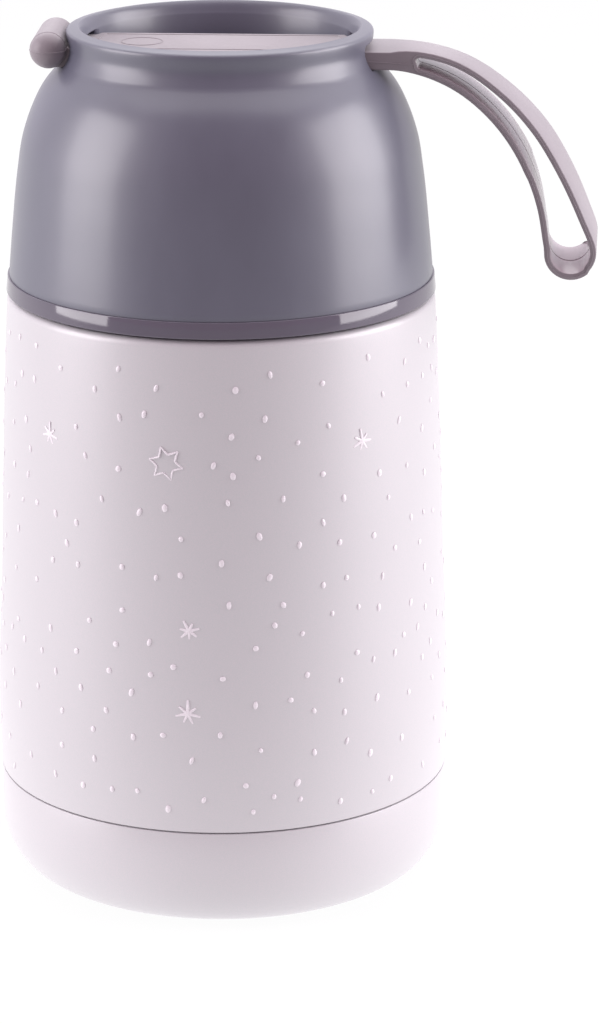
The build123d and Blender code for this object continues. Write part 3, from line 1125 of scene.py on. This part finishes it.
# ---- band
@dataclass
class LipBand:
    """The glossy ring under the cup, with the spigot that holds it there."""

    bottom: float = 0.13360
    height: float = 0.00360
    low_radius: float = 0.04750
    high_radius: float = 0.04718
    bore: float = 0.0431
    spigot_radius: float = 0.0443
    spigot_height: float = 0.0020
    gap: float = 0.00002
    edge_round: float = 0.0002
    face_lean: float = 6.0

    def build(self) -> None:
        """Builds and dresses the band."""
        top = self.bottom + self.height - self.gap
        spigot_top = self.bottom + self.height + self.spigot_height
        low = (self.low_radius - self.edge_round, self.bottom + self.edge_round)
        high = (self.high_radius - self.edge_round, top - self.edge_round)
        section = Outline(self.bore, self.bottom)
        section.arc(low, self.edge_round, -90, 90 + self.face_lean)
        section.arc(high, self.edge_round, self.face_lean, 90 - self.face_lean)
        section.line((self.spigot_radius, top), (self.spigot_radius, spigot_top), (self.bore, spigot_top))
        seat(spun("lip_band", section, True), "band", "gloss_grey", Part.GLOSS.material(), "lip_ring")


# ---- cup
@dataclass
class Cup:
    """The screw-on cup, upside down on the jar, with a slotted foot ring on top."""

    bottom: float = 0.1372
    foot: Station = (0.0468, 0.1372)
    low_side: Station = (0.04588, 0.14764)
    middle: Station = (0.0445, 0.1604)
    high_side: Station = (0.04332, 0.1676)
    crown: Station = (0.0414, 0.1735)
    brow: Station = (0.03888, 0.17865)
    crease: Station = (0.0343, 0.1843)
    dome_lean: Station = (-0.62, 0.785)
    neck_lean: Station = (-0.42, 0.908)
    neck: Station = (0.03325, 0.1870)
    bulge: Station = (0.03345, 0.19060)
    crest_round: float = 0.00085
    crest_turn: float = 79.0
    ridge: Station = (0.0309, 0.19186)
    lip_round: float = 0.0004
    lip_end: float = 130.0
    flare: Station = (0.0293, 0.1894)
    flare_leave: Station = (-0.77, -0.64)
    flare_arrive: Station = (-0.42, -0.91)
    flare_drop: float = 0.0004
    foot_round: float = 0.00006
    recess_radius: float = 0.0291
    recess_height: float = 0.1836
    recess_corner: float = 0.0006
    wall: float = 0.0025
    bowl_round: float = 0.0030
    bowl_leans: tuple[float, float, float] = (36.0, 23.0, 13.0)
    bore: float = 0.0430
    seat_radius: float = 0.0446
    seat_top: float = 0.1395
    lug_height: float = 0.1409
    slot_half_width: float = 0.0088
    slot_height: float = 0.0051
    slot_corner: float = 0.0010
    mouth_round: float = 0.0007
    mouth_margin: float = 0.0030
    mouth_steps: int = 4
    corner_steps: int = 4
    lip_steps: int = 5
    slot_steps: int = 5
    cutter_run: float = 0.0012
    edge_round: float = 0.00025

    def outside(self) -> Outline:
        """The cup's outside, from the lower edge up to the bulge of the foot ring."""
        dome = [self.low_side, self.middle, self.high_side, self.crown, self.brow, self.crease]
        line = Outline(*self.foot).flow(dome, arrive=self.dome_lean)
        return line.flow([self.neck, self.bulge], leave=self.neck_lean, arrive=(0.0, 1.0))

    def section(self) -> Outline:
        """Half section: up the outside, over the foot ring, and down the inside."""
        crest = (self.bulge[0] - self.crest_round, self.bulge[1])
        lip = (self.ridge[0], self.ridge[1] - self.lip_round)
        heel = (self.foot[0] - self.foot_round, self.bottom + self.foot_round)
        section = Outline(0.0, self.recess_height - self.wall)
        section.line((self.recess_radius - self.bowl_round, self.recess_height - self.wall))
        section.flow(self.inside(), arrive=(0.0, -1.0))
        section.line((self.bore, self.seat_top), (self.seat_radius, self.seat_top))
        section.line((self.seat_radius, self.bottom))
        section.arc(heel, self.foot_round, -90, 90, self.corner_steps)
        section.line(*[(point.x, point.z) for point in self.outside().points[1:]])
        section.arc(crest, self.crest_round, 0, self.crest_turn)
        turn = self.lip_end - self.crest_turn
        section.arc(lip, self.lip_round, self.crest_turn, turn, self.lip_steps)
        section.flow([self.flare], leave=self.flare_leave, arrive=self.flare_arrive)
        section.line((self.recess_radius, self.flare[1] - self.flare_drop))
        corner = (self.recess_radius - self.recess_corner, self.recess_height + self.recess_corner)
        section.arc(corner, self.recess_corner, 0, -90, self.corner_steps)
        section.line((0.0, self.recess_height))
        return section

    def inside(self) -> list[Station]:
        """Stations down the bowl's inside, one wall in from the outside."""
        stations = []
        for (radius, height), lean in zip((self.brow, self.crown, self.high_side), self.bowl_leans):
            turn = math.radians(lean)
            stations.append((radius - self.wall * math.cos(turn), height - self.wall * math.sin(turn)))
        return [*stations, (self.bore, self.low_side[1])]

    def slot_outline(self) -> list[Vector]:
        """Outline of a slot, with its width along X and its height along Z."""
        half, top, corner = self.slot_half_width, self.slot_height, self.slot_corner
        line = Outline(half, 0.0)
        line.arc((half - corner, top - corner), corner, 0, 90, self.slot_steps)
        line.arc((corner - half, top - corner), corner, 90, 90, self.slot_steps)
        line.line((-half, 0.0))
        return divided(line.points, self.cutter_run)

    def mouth(self, grow: float, outer: bool, offset: float) -> list[Vector]:
        """One ring of the slot's cutter, bent to the foot ring's face.

        Args:
            grow: How far the slot is widened there.
            outer: True for the face outside, and False for the one towards the recess.
            offset: How far outside that face the ring stands.

        Returns:
            The ring's points, for the slot at +X.
        """
        wide = 1 + grow / self.slot_half_width
        tall = 1 + grow / self.slot_height
        wall = self.outside().points
        ring = []
        for point in self.slot_outline():
            across, up = point.x * wide, self.recess_height + point.z * tall
            radius = crossing(wall, 2, up).x if outer else self.recess_radius
            ring.append(Vector((math.sqrt(radius**2 - across**2) + offset, across, up)))
        return ring

    def slot_cutter(self) -> Piece:
        """Two short bars with trumpet mouths, which cut the slots and round their rims."""
        turns = [math.pi / 2 * step / self.mouth_steps for step in range(self.mouth_steps + 1)]
        flare = [
            (self.mouth_round * (1 - math.cos(turn)), self.mouth_round * (1 - math.sin(turn)))
            for turn in turns
        ]
        rings = [self.mouth(self.mouth_round, False, -self.mouth_margin)]
        rings += [self.mouth(grow, False, back) for grow, back in reversed(flare)]
        rings += [self.mouth(grow, True, -back) for grow, back in flare]
        rings.append(self.mouth(self.mouth_round, True, self.mouth_margin))
        bm = bmesh.new()
        lofted(bm, rings, False)
        copy = bmesh.ops.duplicate(bm, geom=bm.verts[:] + bm.edges[:] + bm.faces[:])["geom"]
        verts = only(copy, bmesh.types.BMVert)
        bmesh.ops.rotate(bm, verts=verts, cent=(0, 0, 0), matrix=Matrix.Rotation(math.pi, 3, "Z"))
        bmesh.ops.recalc_face_normals(bm, faces=bm.faces)
        return finished(bm, "slot_cutter")

    def shell(self) -> Piece:
        """Spins the cup and cuts the strap's two slots through its foot ring."""
        cup = spun("cup_shell", self.section(), False, self.edge_round)
        cutter = self.slot_cutter()
        cut = cup.modifiers.new("slots", "BOOLEAN")
        cut.operation = "DIFFERENCE"
        cut.solver = "EXACT"
        cut.object = cutter
        bm = bmesh.new()
        bm.from_object(cup, bpy.context.evaluated_depsgraph_get())
        for spare in (cutter, cup):
            bpy.data.meshes.remove(spare.data)
        return finished(bm, "cup_shell")

    def build(self) -> None:
        """Builds and dresses the cup."""
        slate = Part.SLATE.material()
        seat(self.shell(), "cup", "slate_plastic", slate, "cup")
        thread = Thread().build("cup_thread", self.bore, -1, self.lug_height)
        seat(thread, "cup", "slate_plastic", slate)


# ---- strap
@dataclass
class Strap:
    """The silicone strap: end bar, centre plate and two-branch loop, all of one moulding."""

    half_width: float = 0.0082
    bottom: float = 0.1837
    thickness: float = 0.0039
    edge_round: float = 0.0003
    plate_radius: float = 0.0288
    plate_half_width: float = 0.0105
    plate_rise: float = 0.0004
    plate_corner: float = 0.0008
    plate_end: float = 0.0310
    border_inset: float = 0.0020
    badge_place: float = -0.0170
    badge_radius: float = 0.0045
    bar_reach: float = 0.0366
    bar_height: float = 0.18755
    bar_radius: float = 0.0040
    bar_length: float = 0.0245
    bar_dome: float = 0.0034
    bar_crease: float = 0.00012
    bar_columns: int = 64
    root_reach: float = 0.0304
    hinge_reach: float = 0.0372
    slit_reach: float = 0.0442
    branch: float = 0.00135
    upper: tuple[Station, ...] = (
        (0.0512, 0.1858), (0.0632, 0.1782), (0.0704, 0.1705), (0.0759, 0.1615), (0.0806, 0.1512)
    )
    bend_centre: Station = (0.0769, 0.1445)
    bend_radius: float = 0.0059
    bend_start: float = 14.0
    lower: tuple[Station, ...] = (
        (0.0705, 0.1481), (0.0692, 0.1551), (0.0654, 0.1649),
        (0.0591, 0.1735), (0.0507, 0.1800), (0.0442, 0.1826),
    )
    groove_half_width: float = 0.00026
    groove_depth: float = 0.0005
    flash_radius: float = 0.00013
    twists: tuple[tuple[float, float, float], ...] = (
        (0.0, 0.0, 0.0), (0.25, 7.8, -3.4), (0.35, 6.1, -0.2), (0.5, 1.4, 5.6), (0.59, -0.9, 8.8),
        (0.75, 2.3, 3.9), (1.0, 0.0, 0.0),
    )
    lean_out: float = 0.060
    lean_down: float = 0.070
    level: float = 0.1860
    fade: float = 0.0100
    blend_start: Place = (0.0345, 0.0, 0.1857)
    blend_end: Place = (0.0450, 0.0, 0.1840)
    bend_steps: int = 24
    twist_steps: int = 8
    stem_steps: int = 12
    dome_steps: int = 14
    badge_steps: int = 40
    slit_end_steps: int = 10
    plan_steps: int = 6
    border_steps: int = 8
    sideways: float = 0.9

    @property
    def top(self) -> float:
        """Height of the strap's upper face at its root."""
        return self.bottom + self.thickness

    @property
    def plate_top(self) -> float:
        """Height of the plate's upper face."""
        return self.top + self.plate_rise

    def loop_line(self) -> list[Vector]:
        """The loop's outer line in the side view: upper branch, bend and lower branch."""
        start = math.radians(self.bend_start)
        middle, height = self.bend_centre
        meet = (middle + self.bend_radius * math.cos(start), height + self.bend_radius * math.sin(start))
        along = (math.sin(start), -math.cos(start))
        line = Outline(self.hinge_reach, self.top).flow([*self.upper, meet], arrive=along)
        turn = -180 - self.bend_start
        line.arc(self.bend_centre, self.bend_radius, self.bend_start, turn, self.bend_steps)
        line.flow([*self.lower, (self.hinge_reach, self.bottom)], leave=(0.0, 1.0), arrive=(-1.0, 0.0))
        return line.points

    def round_slit(self, inset: float) -> tuple[list[Vector], Vector]:
        """A closed line round the slit, inside the loop's outer line.

        Args:
            inset: How far inside the outer line it runs.

        Returns:
            Its points, and the point at the middle of its round end.
        """
        inner = beside(self.loop_line(), inset)
        upper = crossing(inner, 0, self.slit_reach)
        lower = crossing(inner[::-1], 0, self.slit_reach)
        run = [point for point in inner if point.x > self.slit_reach + MERGE_DISTANCE]
        middle, gap = (upper + lower) / 2, (upper - lower).length / 2
        turn = Outline(lower.x, lower.z).arc((middle.x, middle.z), gap, 270, -180, self.slit_end_steps)
        return [upper, *run, lower, *turn.points[1:-1]], middle - Vector((gap, 0, 0))

    def hung(self, verts: list[bmesh.types.BMVert]) -> None:
        """Lets the straight loop hang and twist as the soft strap does.

        Args:
            verts: Vertices to move.
        """
        line = self.loop_line()
        runs = [0.0]
        for before, after in zip(line, line[1:]):
            runs.append(runs[-1] + (after - before).length)
        knots = [Vector(twist) for twist in self.twists]
        table = [knots[0], *smooth_run(knots, None, None, self.twist_steps)]
        known: dict[tuple[float, float], Vector] = {}
        for vert in verts:
            place = Vector((vert.co.x, 0.0, vert.co.z))
            key = side_key(place)
            if key not in known:
                known[key] = crossing(table, 0, self.share(line, runs, place))
            _, yaw, roll = known[key]
            across = Vector((math.sin(math.radians(yaw)), 1.0, math.sin(math.radians(roll)))).normalized()
            reach = place.x - self.hinge_reach
            drift = (self.level - place.z) * self.lean_down - reach * self.lean_out
            place.y = drift * min(1.0, max(0.0, reach / self.fade))
            vert.co = place + across * vert.co.y

    def share(self, line: list[Vector], runs: list[float], place: Vector) -> float:
        """How far along the loop's outer line the point nearest to a place lies.

        Args:
            line: The outer line.
            runs: Its length up to each point.
            place: The place.

        Returns:
            The share, from 0 to 1.
        """
        best = (math.inf, 0.0)
        for index, (start, end) in enumerate(zip(line, line[1:])):
            foot, part = intersect_point_line(place, start, end)
            part = min(1.0, max(0.0, part))
            gap = (start.lerp(end, part) - place).length_squared
            if gap < best[0]:
                best = (gap, runs[index] + part * (runs[index + 1] - runs[index]))
        return best[1] / runs[-1]

    def band(self) -> Piece:
        """Extrudes the side view across the strap, grooves its inside and lays the flash lines."""
        bm = bmesh.new()
        loop = self.loop_line()
        outer = [Vector((self.root_reach, 0, self.top)), *loop, Vector((self.root_reach, 0, self.bottom))]
        slit, _ = self.round_slit(self.branch)
        edges = drawn(bm, outer, True)[1] + drawn(bm, slit, True)[1]
        bmesh.ops.triangle_fill(bm, use_beauty=True, use_dissolve=False, edges=edges)
        reach = self.half_width - self.edge_round
        bmesh.ops.translate(bm, vec=(0, -reach, 0), verts=bm.verts)
        front = bm.faces[:]
        side = reach - self.groove_half_width
        for step, row in enumerate((side, self.groove_half_width, self.groove_half_width, side)):
            made = bmesh.ops.extrude_face_region(bm, geom=front)["geom"]
            if step:
                bmesh.ops.delete(bm, geom=front, context="FACES")
            front = only(made, bmesh.types.BMFace)
            bmesh.ops.translate(bm, vec=(0, row, 0), verts=only(made, bmesh.types.BMVert))
        bmesh.ops.recalc_face_normals(bm, faces=bm.faces)
        bm.normal_update()
        near = {side_key(point) for point in slit}
        inside = [vert for vert in bm.verts if side_key(vert.co) in near]
        # The slit's inside faces take the second material, a lighter, glossier silicone: painted light on
        # the slit.
        for face in {face for vert in inside for face in vert.link_faces}:
            if abs(face.normal.y) < self.sideways:
                face.material_index = 1
        for vert in inside:
            if abs(vert.co.y) < self.groove_half_width / 2:
                vert.co -= vert.normal * self.groove_depth
        for way in (-1, 1):
            round_rim(bm, facing(bm, Vector((0, way, 0))), self.edge_round)
        self.flash(bm)
        self.hung(bm.verts[:])
        return finished(bm, "strap_band")

    def flash(self, bm: Mesh) -> None:
        """Lays the mould's thin flash lines on both sides of the loop."""
        ring, end = self.round_slit(self.branch / 2)
        root = Vector((self.root_reach, 0, self.bottom + self.thickness / 2))
        stem = [root.lerp(end, step / self.stem_steps) for step in range(self.stem_steps + 1)]
        for way in (-1, 1):
            out = Vector((0, way, 0))
            for path, closed in ((ring, True), (stem, False)):
                bead(bm, [point + out * self.half_width for point in path], out, self.flash_radius, closed)

    def plan(self) -> Outline:
        """The plate's plan with a tongue at each end, drawn in XZ."""
        rise = math.degrees(math.asin(self.half_width / self.plate_radius))
        brink = math.degrees(math.asin(self.plate_half_width / self.plate_radius))
        line = Outline(self.plate_end, self.half_width)
        line.arc((0, 0), self.plate_radius, rise, brink - rise, self.plan_steps)
        line.arc((0, 0), self.plate_radius, 180 - brink, brink - rise, self.plan_steps)
        line.line((-self.bar_reach, self.half_width), (-self.bar_reach, -self.half_width))
        line.arc((0, 0), self.plate_radius, 180 + rise, brink - rise, self.plan_steps)
        line.arc((0, 0), self.plate_radius, -brink, brink - rise, self.plan_steps)
        return line.line((self.plate_end, -self.half_width))

    def border(self) -> list[Vector]:
        """The raised border line, as a closed run on the plate's top."""
        radius = self.plate_radius - self.border_inset
        brink = math.degrees(math.asin((self.plate_half_width - self.border_inset) / radius))
        line = Outline(radius, 0.0).arc((0, 0), radius, 0, brink, self.border_steps)
        line.arc((0, 0), radius, 180 - brink, 2 * brink, 2 * self.border_steps)
        line.arc((0, 0), radius, -brink, brink, self.border_steps)
        return [Vector((point.x, point.z, self.plate_top)) for point in line.points[:-1]]

    def plate(self) -> Piece:
        """Builds the flat plate in the cup's recess, with its tongues out through the slots."""
        bm = bmesh.new()
        low = self.bottom + self.edge_round
        verts, edges = drawn(bm, [Vector((p.x, p.z, low)) for p in self.plan().points], True)
        bmesh.ops.edgeloop_fill(bm, edges=edges)
        corners = [vert for vert in verts if vert.calc_edge_angle(0.0) > SHARP_ANGLE]
        bmesh.ops.bevel(
            bm,
            geom=corners,
            offset=self.plate_corner,
            segments=ROUND_STEPS,
            affect="VERTICES",
            profile=0.5,
            material=-1,
        )
        made = bmesh.ops.extrude_face_region(bm, geom=bm.faces[:])["geom"]
        rise = self.plate_top - self.bottom - 2 * self.edge_round
        bmesh.ops.translate(bm, vec=UP * rise, verts=only(made, bmesh.types.BMVert))
        bmesh.ops.recalc_face_normals(bm, faces=bm.faces)
        bm.normal_update()
        for way in (-1, 1):
            round_rim(bm, facing(bm, UP * way), self.edge_round)
        badge = Outline(self.badge_place + self.badge_radius, 0.0)
        badge.arc((self.badge_place, 0.0), self.badge_radius, 0, 360, self.badge_steps)
        ring = [Vector((point.x, point.z, self.plate_top)) for point in badge.points[:-1]]
        for line in (self.border(), ring):
            bead(bm, line, UP, self.flash_radius, True)
        return finished(bm, "strap_plate")

    def bar(self) -> Piece:
        """Builds the cross bar, with domed ends and a parting line round its middle."""
        half = self.bar_length / 2
        neck = half - self.bar_dome
        inner = self.bar_radius - self.bar_crease
        turns = [math.pi / 2 * step / self.dome_steps for step in range(self.dome_steps + 1)]
        dome = [(inner * math.sin(turn), neck + self.bar_dome * math.cos(turn)) for turn in turns]
        line = Outline(*dome[0]).line(*dome[1:], (self.bar_radius, neck - self.bar_crease))
        line.line((self.bar_radius, self.bar_crease - neck), *[(x, -z) for x, z in reversed(dome)])
        bm = turned(line, False, self.bar_columns)
        middle = Vector((-self.bar_reach, 0, self.bar_height))
        place = Matrix.Translation(middle) @ Matrix.Rotation(math.pi / 2, 4, "X")
        bmesh.ops.transform(bm, matrix=place, verts=bm.verts)
        path = [middle + Vector((p.x, p.z, 0)) for p in line.points]
        path += [middle + Vector((-p.x, p.z, 0)) for p in reversed(line.points[1:-1])]
        bead(bm, path, UP, self.flash_radius, True)
        return finished(bm, "strap_bar")

    def build(self) -> None:
        """Builds and dresses the strap, and hides the CAD strap and loop that it replaces."""
        silicone = Part.STRAP.material()
        band = self.band()
        dress(band, silicone)
        # Second material for the slit's inside: glossier silicone whose lighter colour is painted light.
        band.data.materials.append(Part.POLISHED.material())
        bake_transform(band)
        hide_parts("strap", "strap_loop")
        log.info("strap_band bends between cup and loop: %d faces", len(band.data.polygons))
        for piece in (self.bar(), self.plate()):
            seat(piece, "cup", "grey_silicone", silicone)


# ---- parts inside
@dataclass
class Insides:
    """Pieces that keep their CAD shape and get a worked surface."""

    finishes: tuple[tuple[str, Part], ...] = (
        ("inner_vessel", Part.STEEL),
        ("vacuum_bottom", Part.STEEL),
        ("seal_off_bead", Part.BRAZE),
        ("radiation_foil", Part.FOIL),
        ("getter", Part.GETTER),
        ("getter_clip", Part.STEEL),
        ("stopper_plug", Part.STOPPER),
        ("stopper_cap", Part.STOPPER),
        ("stopper_insulation", Part.FOAM),
        ("stopper_gasket", Part.GASKET),
        ("vent_button", Part.BUTTON),
        ("vent_stem", Part.STOPPER),
        ("vent_seal", Part.GASKET),
    )

    def build(self) -> None:
        """Dresses each CAD node that stays."""
        for node, part in self.finishes:
            dress(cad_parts[node], part.material())
            log.info("%s keeps its shape, in %s", node, part.value.name)


@dataclass
class VentSpring:
    """Coil under the vent button."""

    coil_radius: float = 0.0037
    wire_radius: float = 0.00035
    low: float = 0.15365
    high: float = 0.15905
    turns: int = 5
    steps: int = 40
    sides: int = 12
    travel: float = 0.002

    def build(self) -> None:
        """Winds the coil, dresses it and lets it ride on the stopper with a mesh of its own."""
        wire = Outline(self.coil_radius + self.wire_radius, self.low)
        wire.arc((self.coil_radius, self.low), self.wire_radius, 0, 360, self.sides)
        bm = bmesh.new()
        angle, steps = math.tau * self.turns, self.turns * self.steps
        swept(bm, wire.points[:-1], True, angle, steps, self.high - self.low)
        bmesh.ops.holes_fill(bm, edges=bm.edges, sides=self.sides)
        bmesh.ops.recalc_face_normals(bm, faces=bm.faces)
        coil = finished(bm, "vent_coil")
        seat(coil, "stopper", "spring_steel", Part.SPRING.material(), "vent_spring")
        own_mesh(coil)


# ---- studio
@dataclass(frozen=True)
class Softbox:
    """One soft lamp that looks at the jar's middle."""

    name: str
    azimuth: float
    distance: float
    height: float
    size: Station
    radiance: float
    tint: Colour = WHITE
    target: Place = (0.0, 0.0, 0.11)

    def build(self) -> None:
        """Hangs the lamp."""
        lamp = bpy.data.lights.new(self.name, "AREA")
        lamp.shape = "RECTANGLE"
        lamp.size, lamp.size_y = self.size
        lamp.energy = self.radiance * math.pi * self.size[0] * self.size[1]
        lamp.color = self.tint
        holder = bpy.data.objects.new(self.name, lamp)
        turn = math.radians(self.azimuth)
        holder.location = (self.distance * math.cos(turn), self.distance * math.sin(turn), self.height)
        aim = Vector(self.target) - holder.location
        holder.rotation_euler = aim.to_track_quat("-Z", "Y").to_euler()
        holder.visible_camera = False
        bpy.context.scene.collection.objects.link(holder)


@dataclass
class Studio:
    """Pale floor, soft lamps, a light room that is darker at the front, and the camera."""

    floor_size: float = 6.0
    floor_colour: Colour = (0.95, 0.95, 0.955)
    floor_roughness: float = 0.3
    floor_index: float = 1.35
    floor_glow: float = 0.93
    front_reach: Station = (-0.65, -0.12)
    front_shares: Station = (0.40, 1.0)
    foot_reach: Station = (0.05, 0.25)
    foot_shares: Station = (1.28, 1.0)
    glow_tint: Colour = (1.0, 0.985, 1.0)
    room_reach: Station = (-0.25, 0.35)
    front_colour: Colour = (0.36, 0.262, 0.315)
    back_colour: Colour = (1.0, 0.95, 1.03)
    lamps: tuple[Softbox, ...] = (
        Softbox("softbox_left", 196, 0.9, 0.38, (0.62, 0.75), 5.05, (1.0, 0.965, 0.99)),
        Softbox("softbox_right", 358, 0.9, 0.38, (0.74, 0.75), 5.1, (1.0, 0.965, 0.99)),
        Softbox("softbox_top", 92, 0.25, 1.0, (1.5, 1.5), 1.4),
    )
    camera_place: Place = (0.0603, -0.8621, 0.3495)
    camera_pitch: float = 0.3013
    camera_heading: float = 0.0498
    lens: float = 141.12
    sensor: float = 36.0
    nearest: float = 0.01

    def floor(self) -> None:
        """Lays a floor that is white to the eye and keeps a faint shadow.

        It lights the jar's foot more than the rest, and its front glows less than its back.
        """
        bm = bmesh.new()
        bmesh.ops.create_grid(bm, x_segments=1, y_segments=1, size=self.floor_size / 2)
        plane = finished(bm, "floor")
        graph = Graph("floor")
        graph.fix(base_color=self.floor_colour, roughness=self.floor_roughness, ior=self.floor_index)
        depth = graph.node("SeparateXYZ", "Y", {"Vector": graph.place})
        front = graph.ease(depth, self.front_reach, self.front_shares)
        far = graph.node("VectorMath", "Value", {0: graph.place}, operation="LENGTH")
        foot = graph.ease(far, self.foot_reach, self.foot_shares)
        share = graph.node("Math", 0, {0: front, 1: foot}, operation="MULTIPLY")
        eye = graph.node("LightPath", "Is Camera Ray")
        strength = graph.node("Mix", "Result", {"Factor": eye, "A": share, "B": 1.0})
        tones = {"Factor": eye, "A": self.glow_tint, "B": WHITE}
        tint = graph.node("Mix", "Result", tones, data_type="RGBA")
        glow = graph.node("Emission", "Emission", {"Color": tint, "Strength": strength})
        plain = graph.shader.outputs["BSDF"]
        surface = graph.node("MixShader", "Shader", {"Fac": self.floor_glow, 1: plain, 2: glow})
        graph.links.new(surface, graph.nodes["Material Output"].inputs["Surface"])
        graph.material.cycles.emission_sampling = "NONE"
        dress(plane, graph.material)

    def world(self) -> None:
        """Makes the room: white to the eye and behind the jar, and dim on the near side."""
        world = bpy.data.worlds.new("room")
        bpy.context.scene.world = world
        world.use_nodes = True
        room = Nodes(world.node_tree)
        depth = room.node("SeparateXYZ", "Y", {"Vector": room.node("TexCoord", "Generated")})
        share = room.ease(depth, self.room_reach, (0.0, 1.0))
        sides = {"Factor": share, "A": self.front_colour, "B": self.back_colour}
        light = room.node("Mix", "Result", sides, data_type="RGBA")
        straight = room.node("LightPath", "Is Camera Ray")
        through = room.node("LightPath", "Is Transmission Ray")
        eye = room.node("Math", 0, {0: straight, 1: through}, operation="MAXIMUM")
        seen = room.node("Mix", "Result", {"Factor": eye, "A": light, "B": WHITE}, data_type="RGBA")
        room.links.new(seen, room.nodes["Background"].inputs["Color"])

    def camera(self) -> None:
        """Sets up the camera."""
        lens = bpy.data.cameras.new("camera")
        lens.sensor_fit = "VERTICAL"
        lens.sensor_height = self.sensor
        lens.lens = self.lens
        lens.clip_start = self.nearest
        holder = bpy.data.objects.new("camera", lens)
        holder.location = self.camera_place
        holder.rotation_euler = (math.pi / 2 - self.camera_pitch, 0.0, self.camera_heading)
        bpy.context.scene.collection.objects.link(holder)
        bpy.context.scene.camera = holder

    def build(self) -> None:
        """Sets up the whole studio."""
        bpy.context.scene.view_settings.view_transform = "Standard"
        self.floor()
        self.world()
        for lamp in self.lamps:
            lamp.build()
        self.camera()


def main() -> None:
    """Builds the jar from the ground up, then the studio round it."""
    logging.basicConfig(level=logging.INFO, format="%(name)s: %(message)s")
    flask = Flask()
    for assembly in (flask, Print(flask), LipBand(), Cup(), Strap(), Insides(), VentSpring(), Studio()):
        assembly.build()
        log.info("built %s", type(assembly).__name__)


if __name__ == "__main__":
    main()
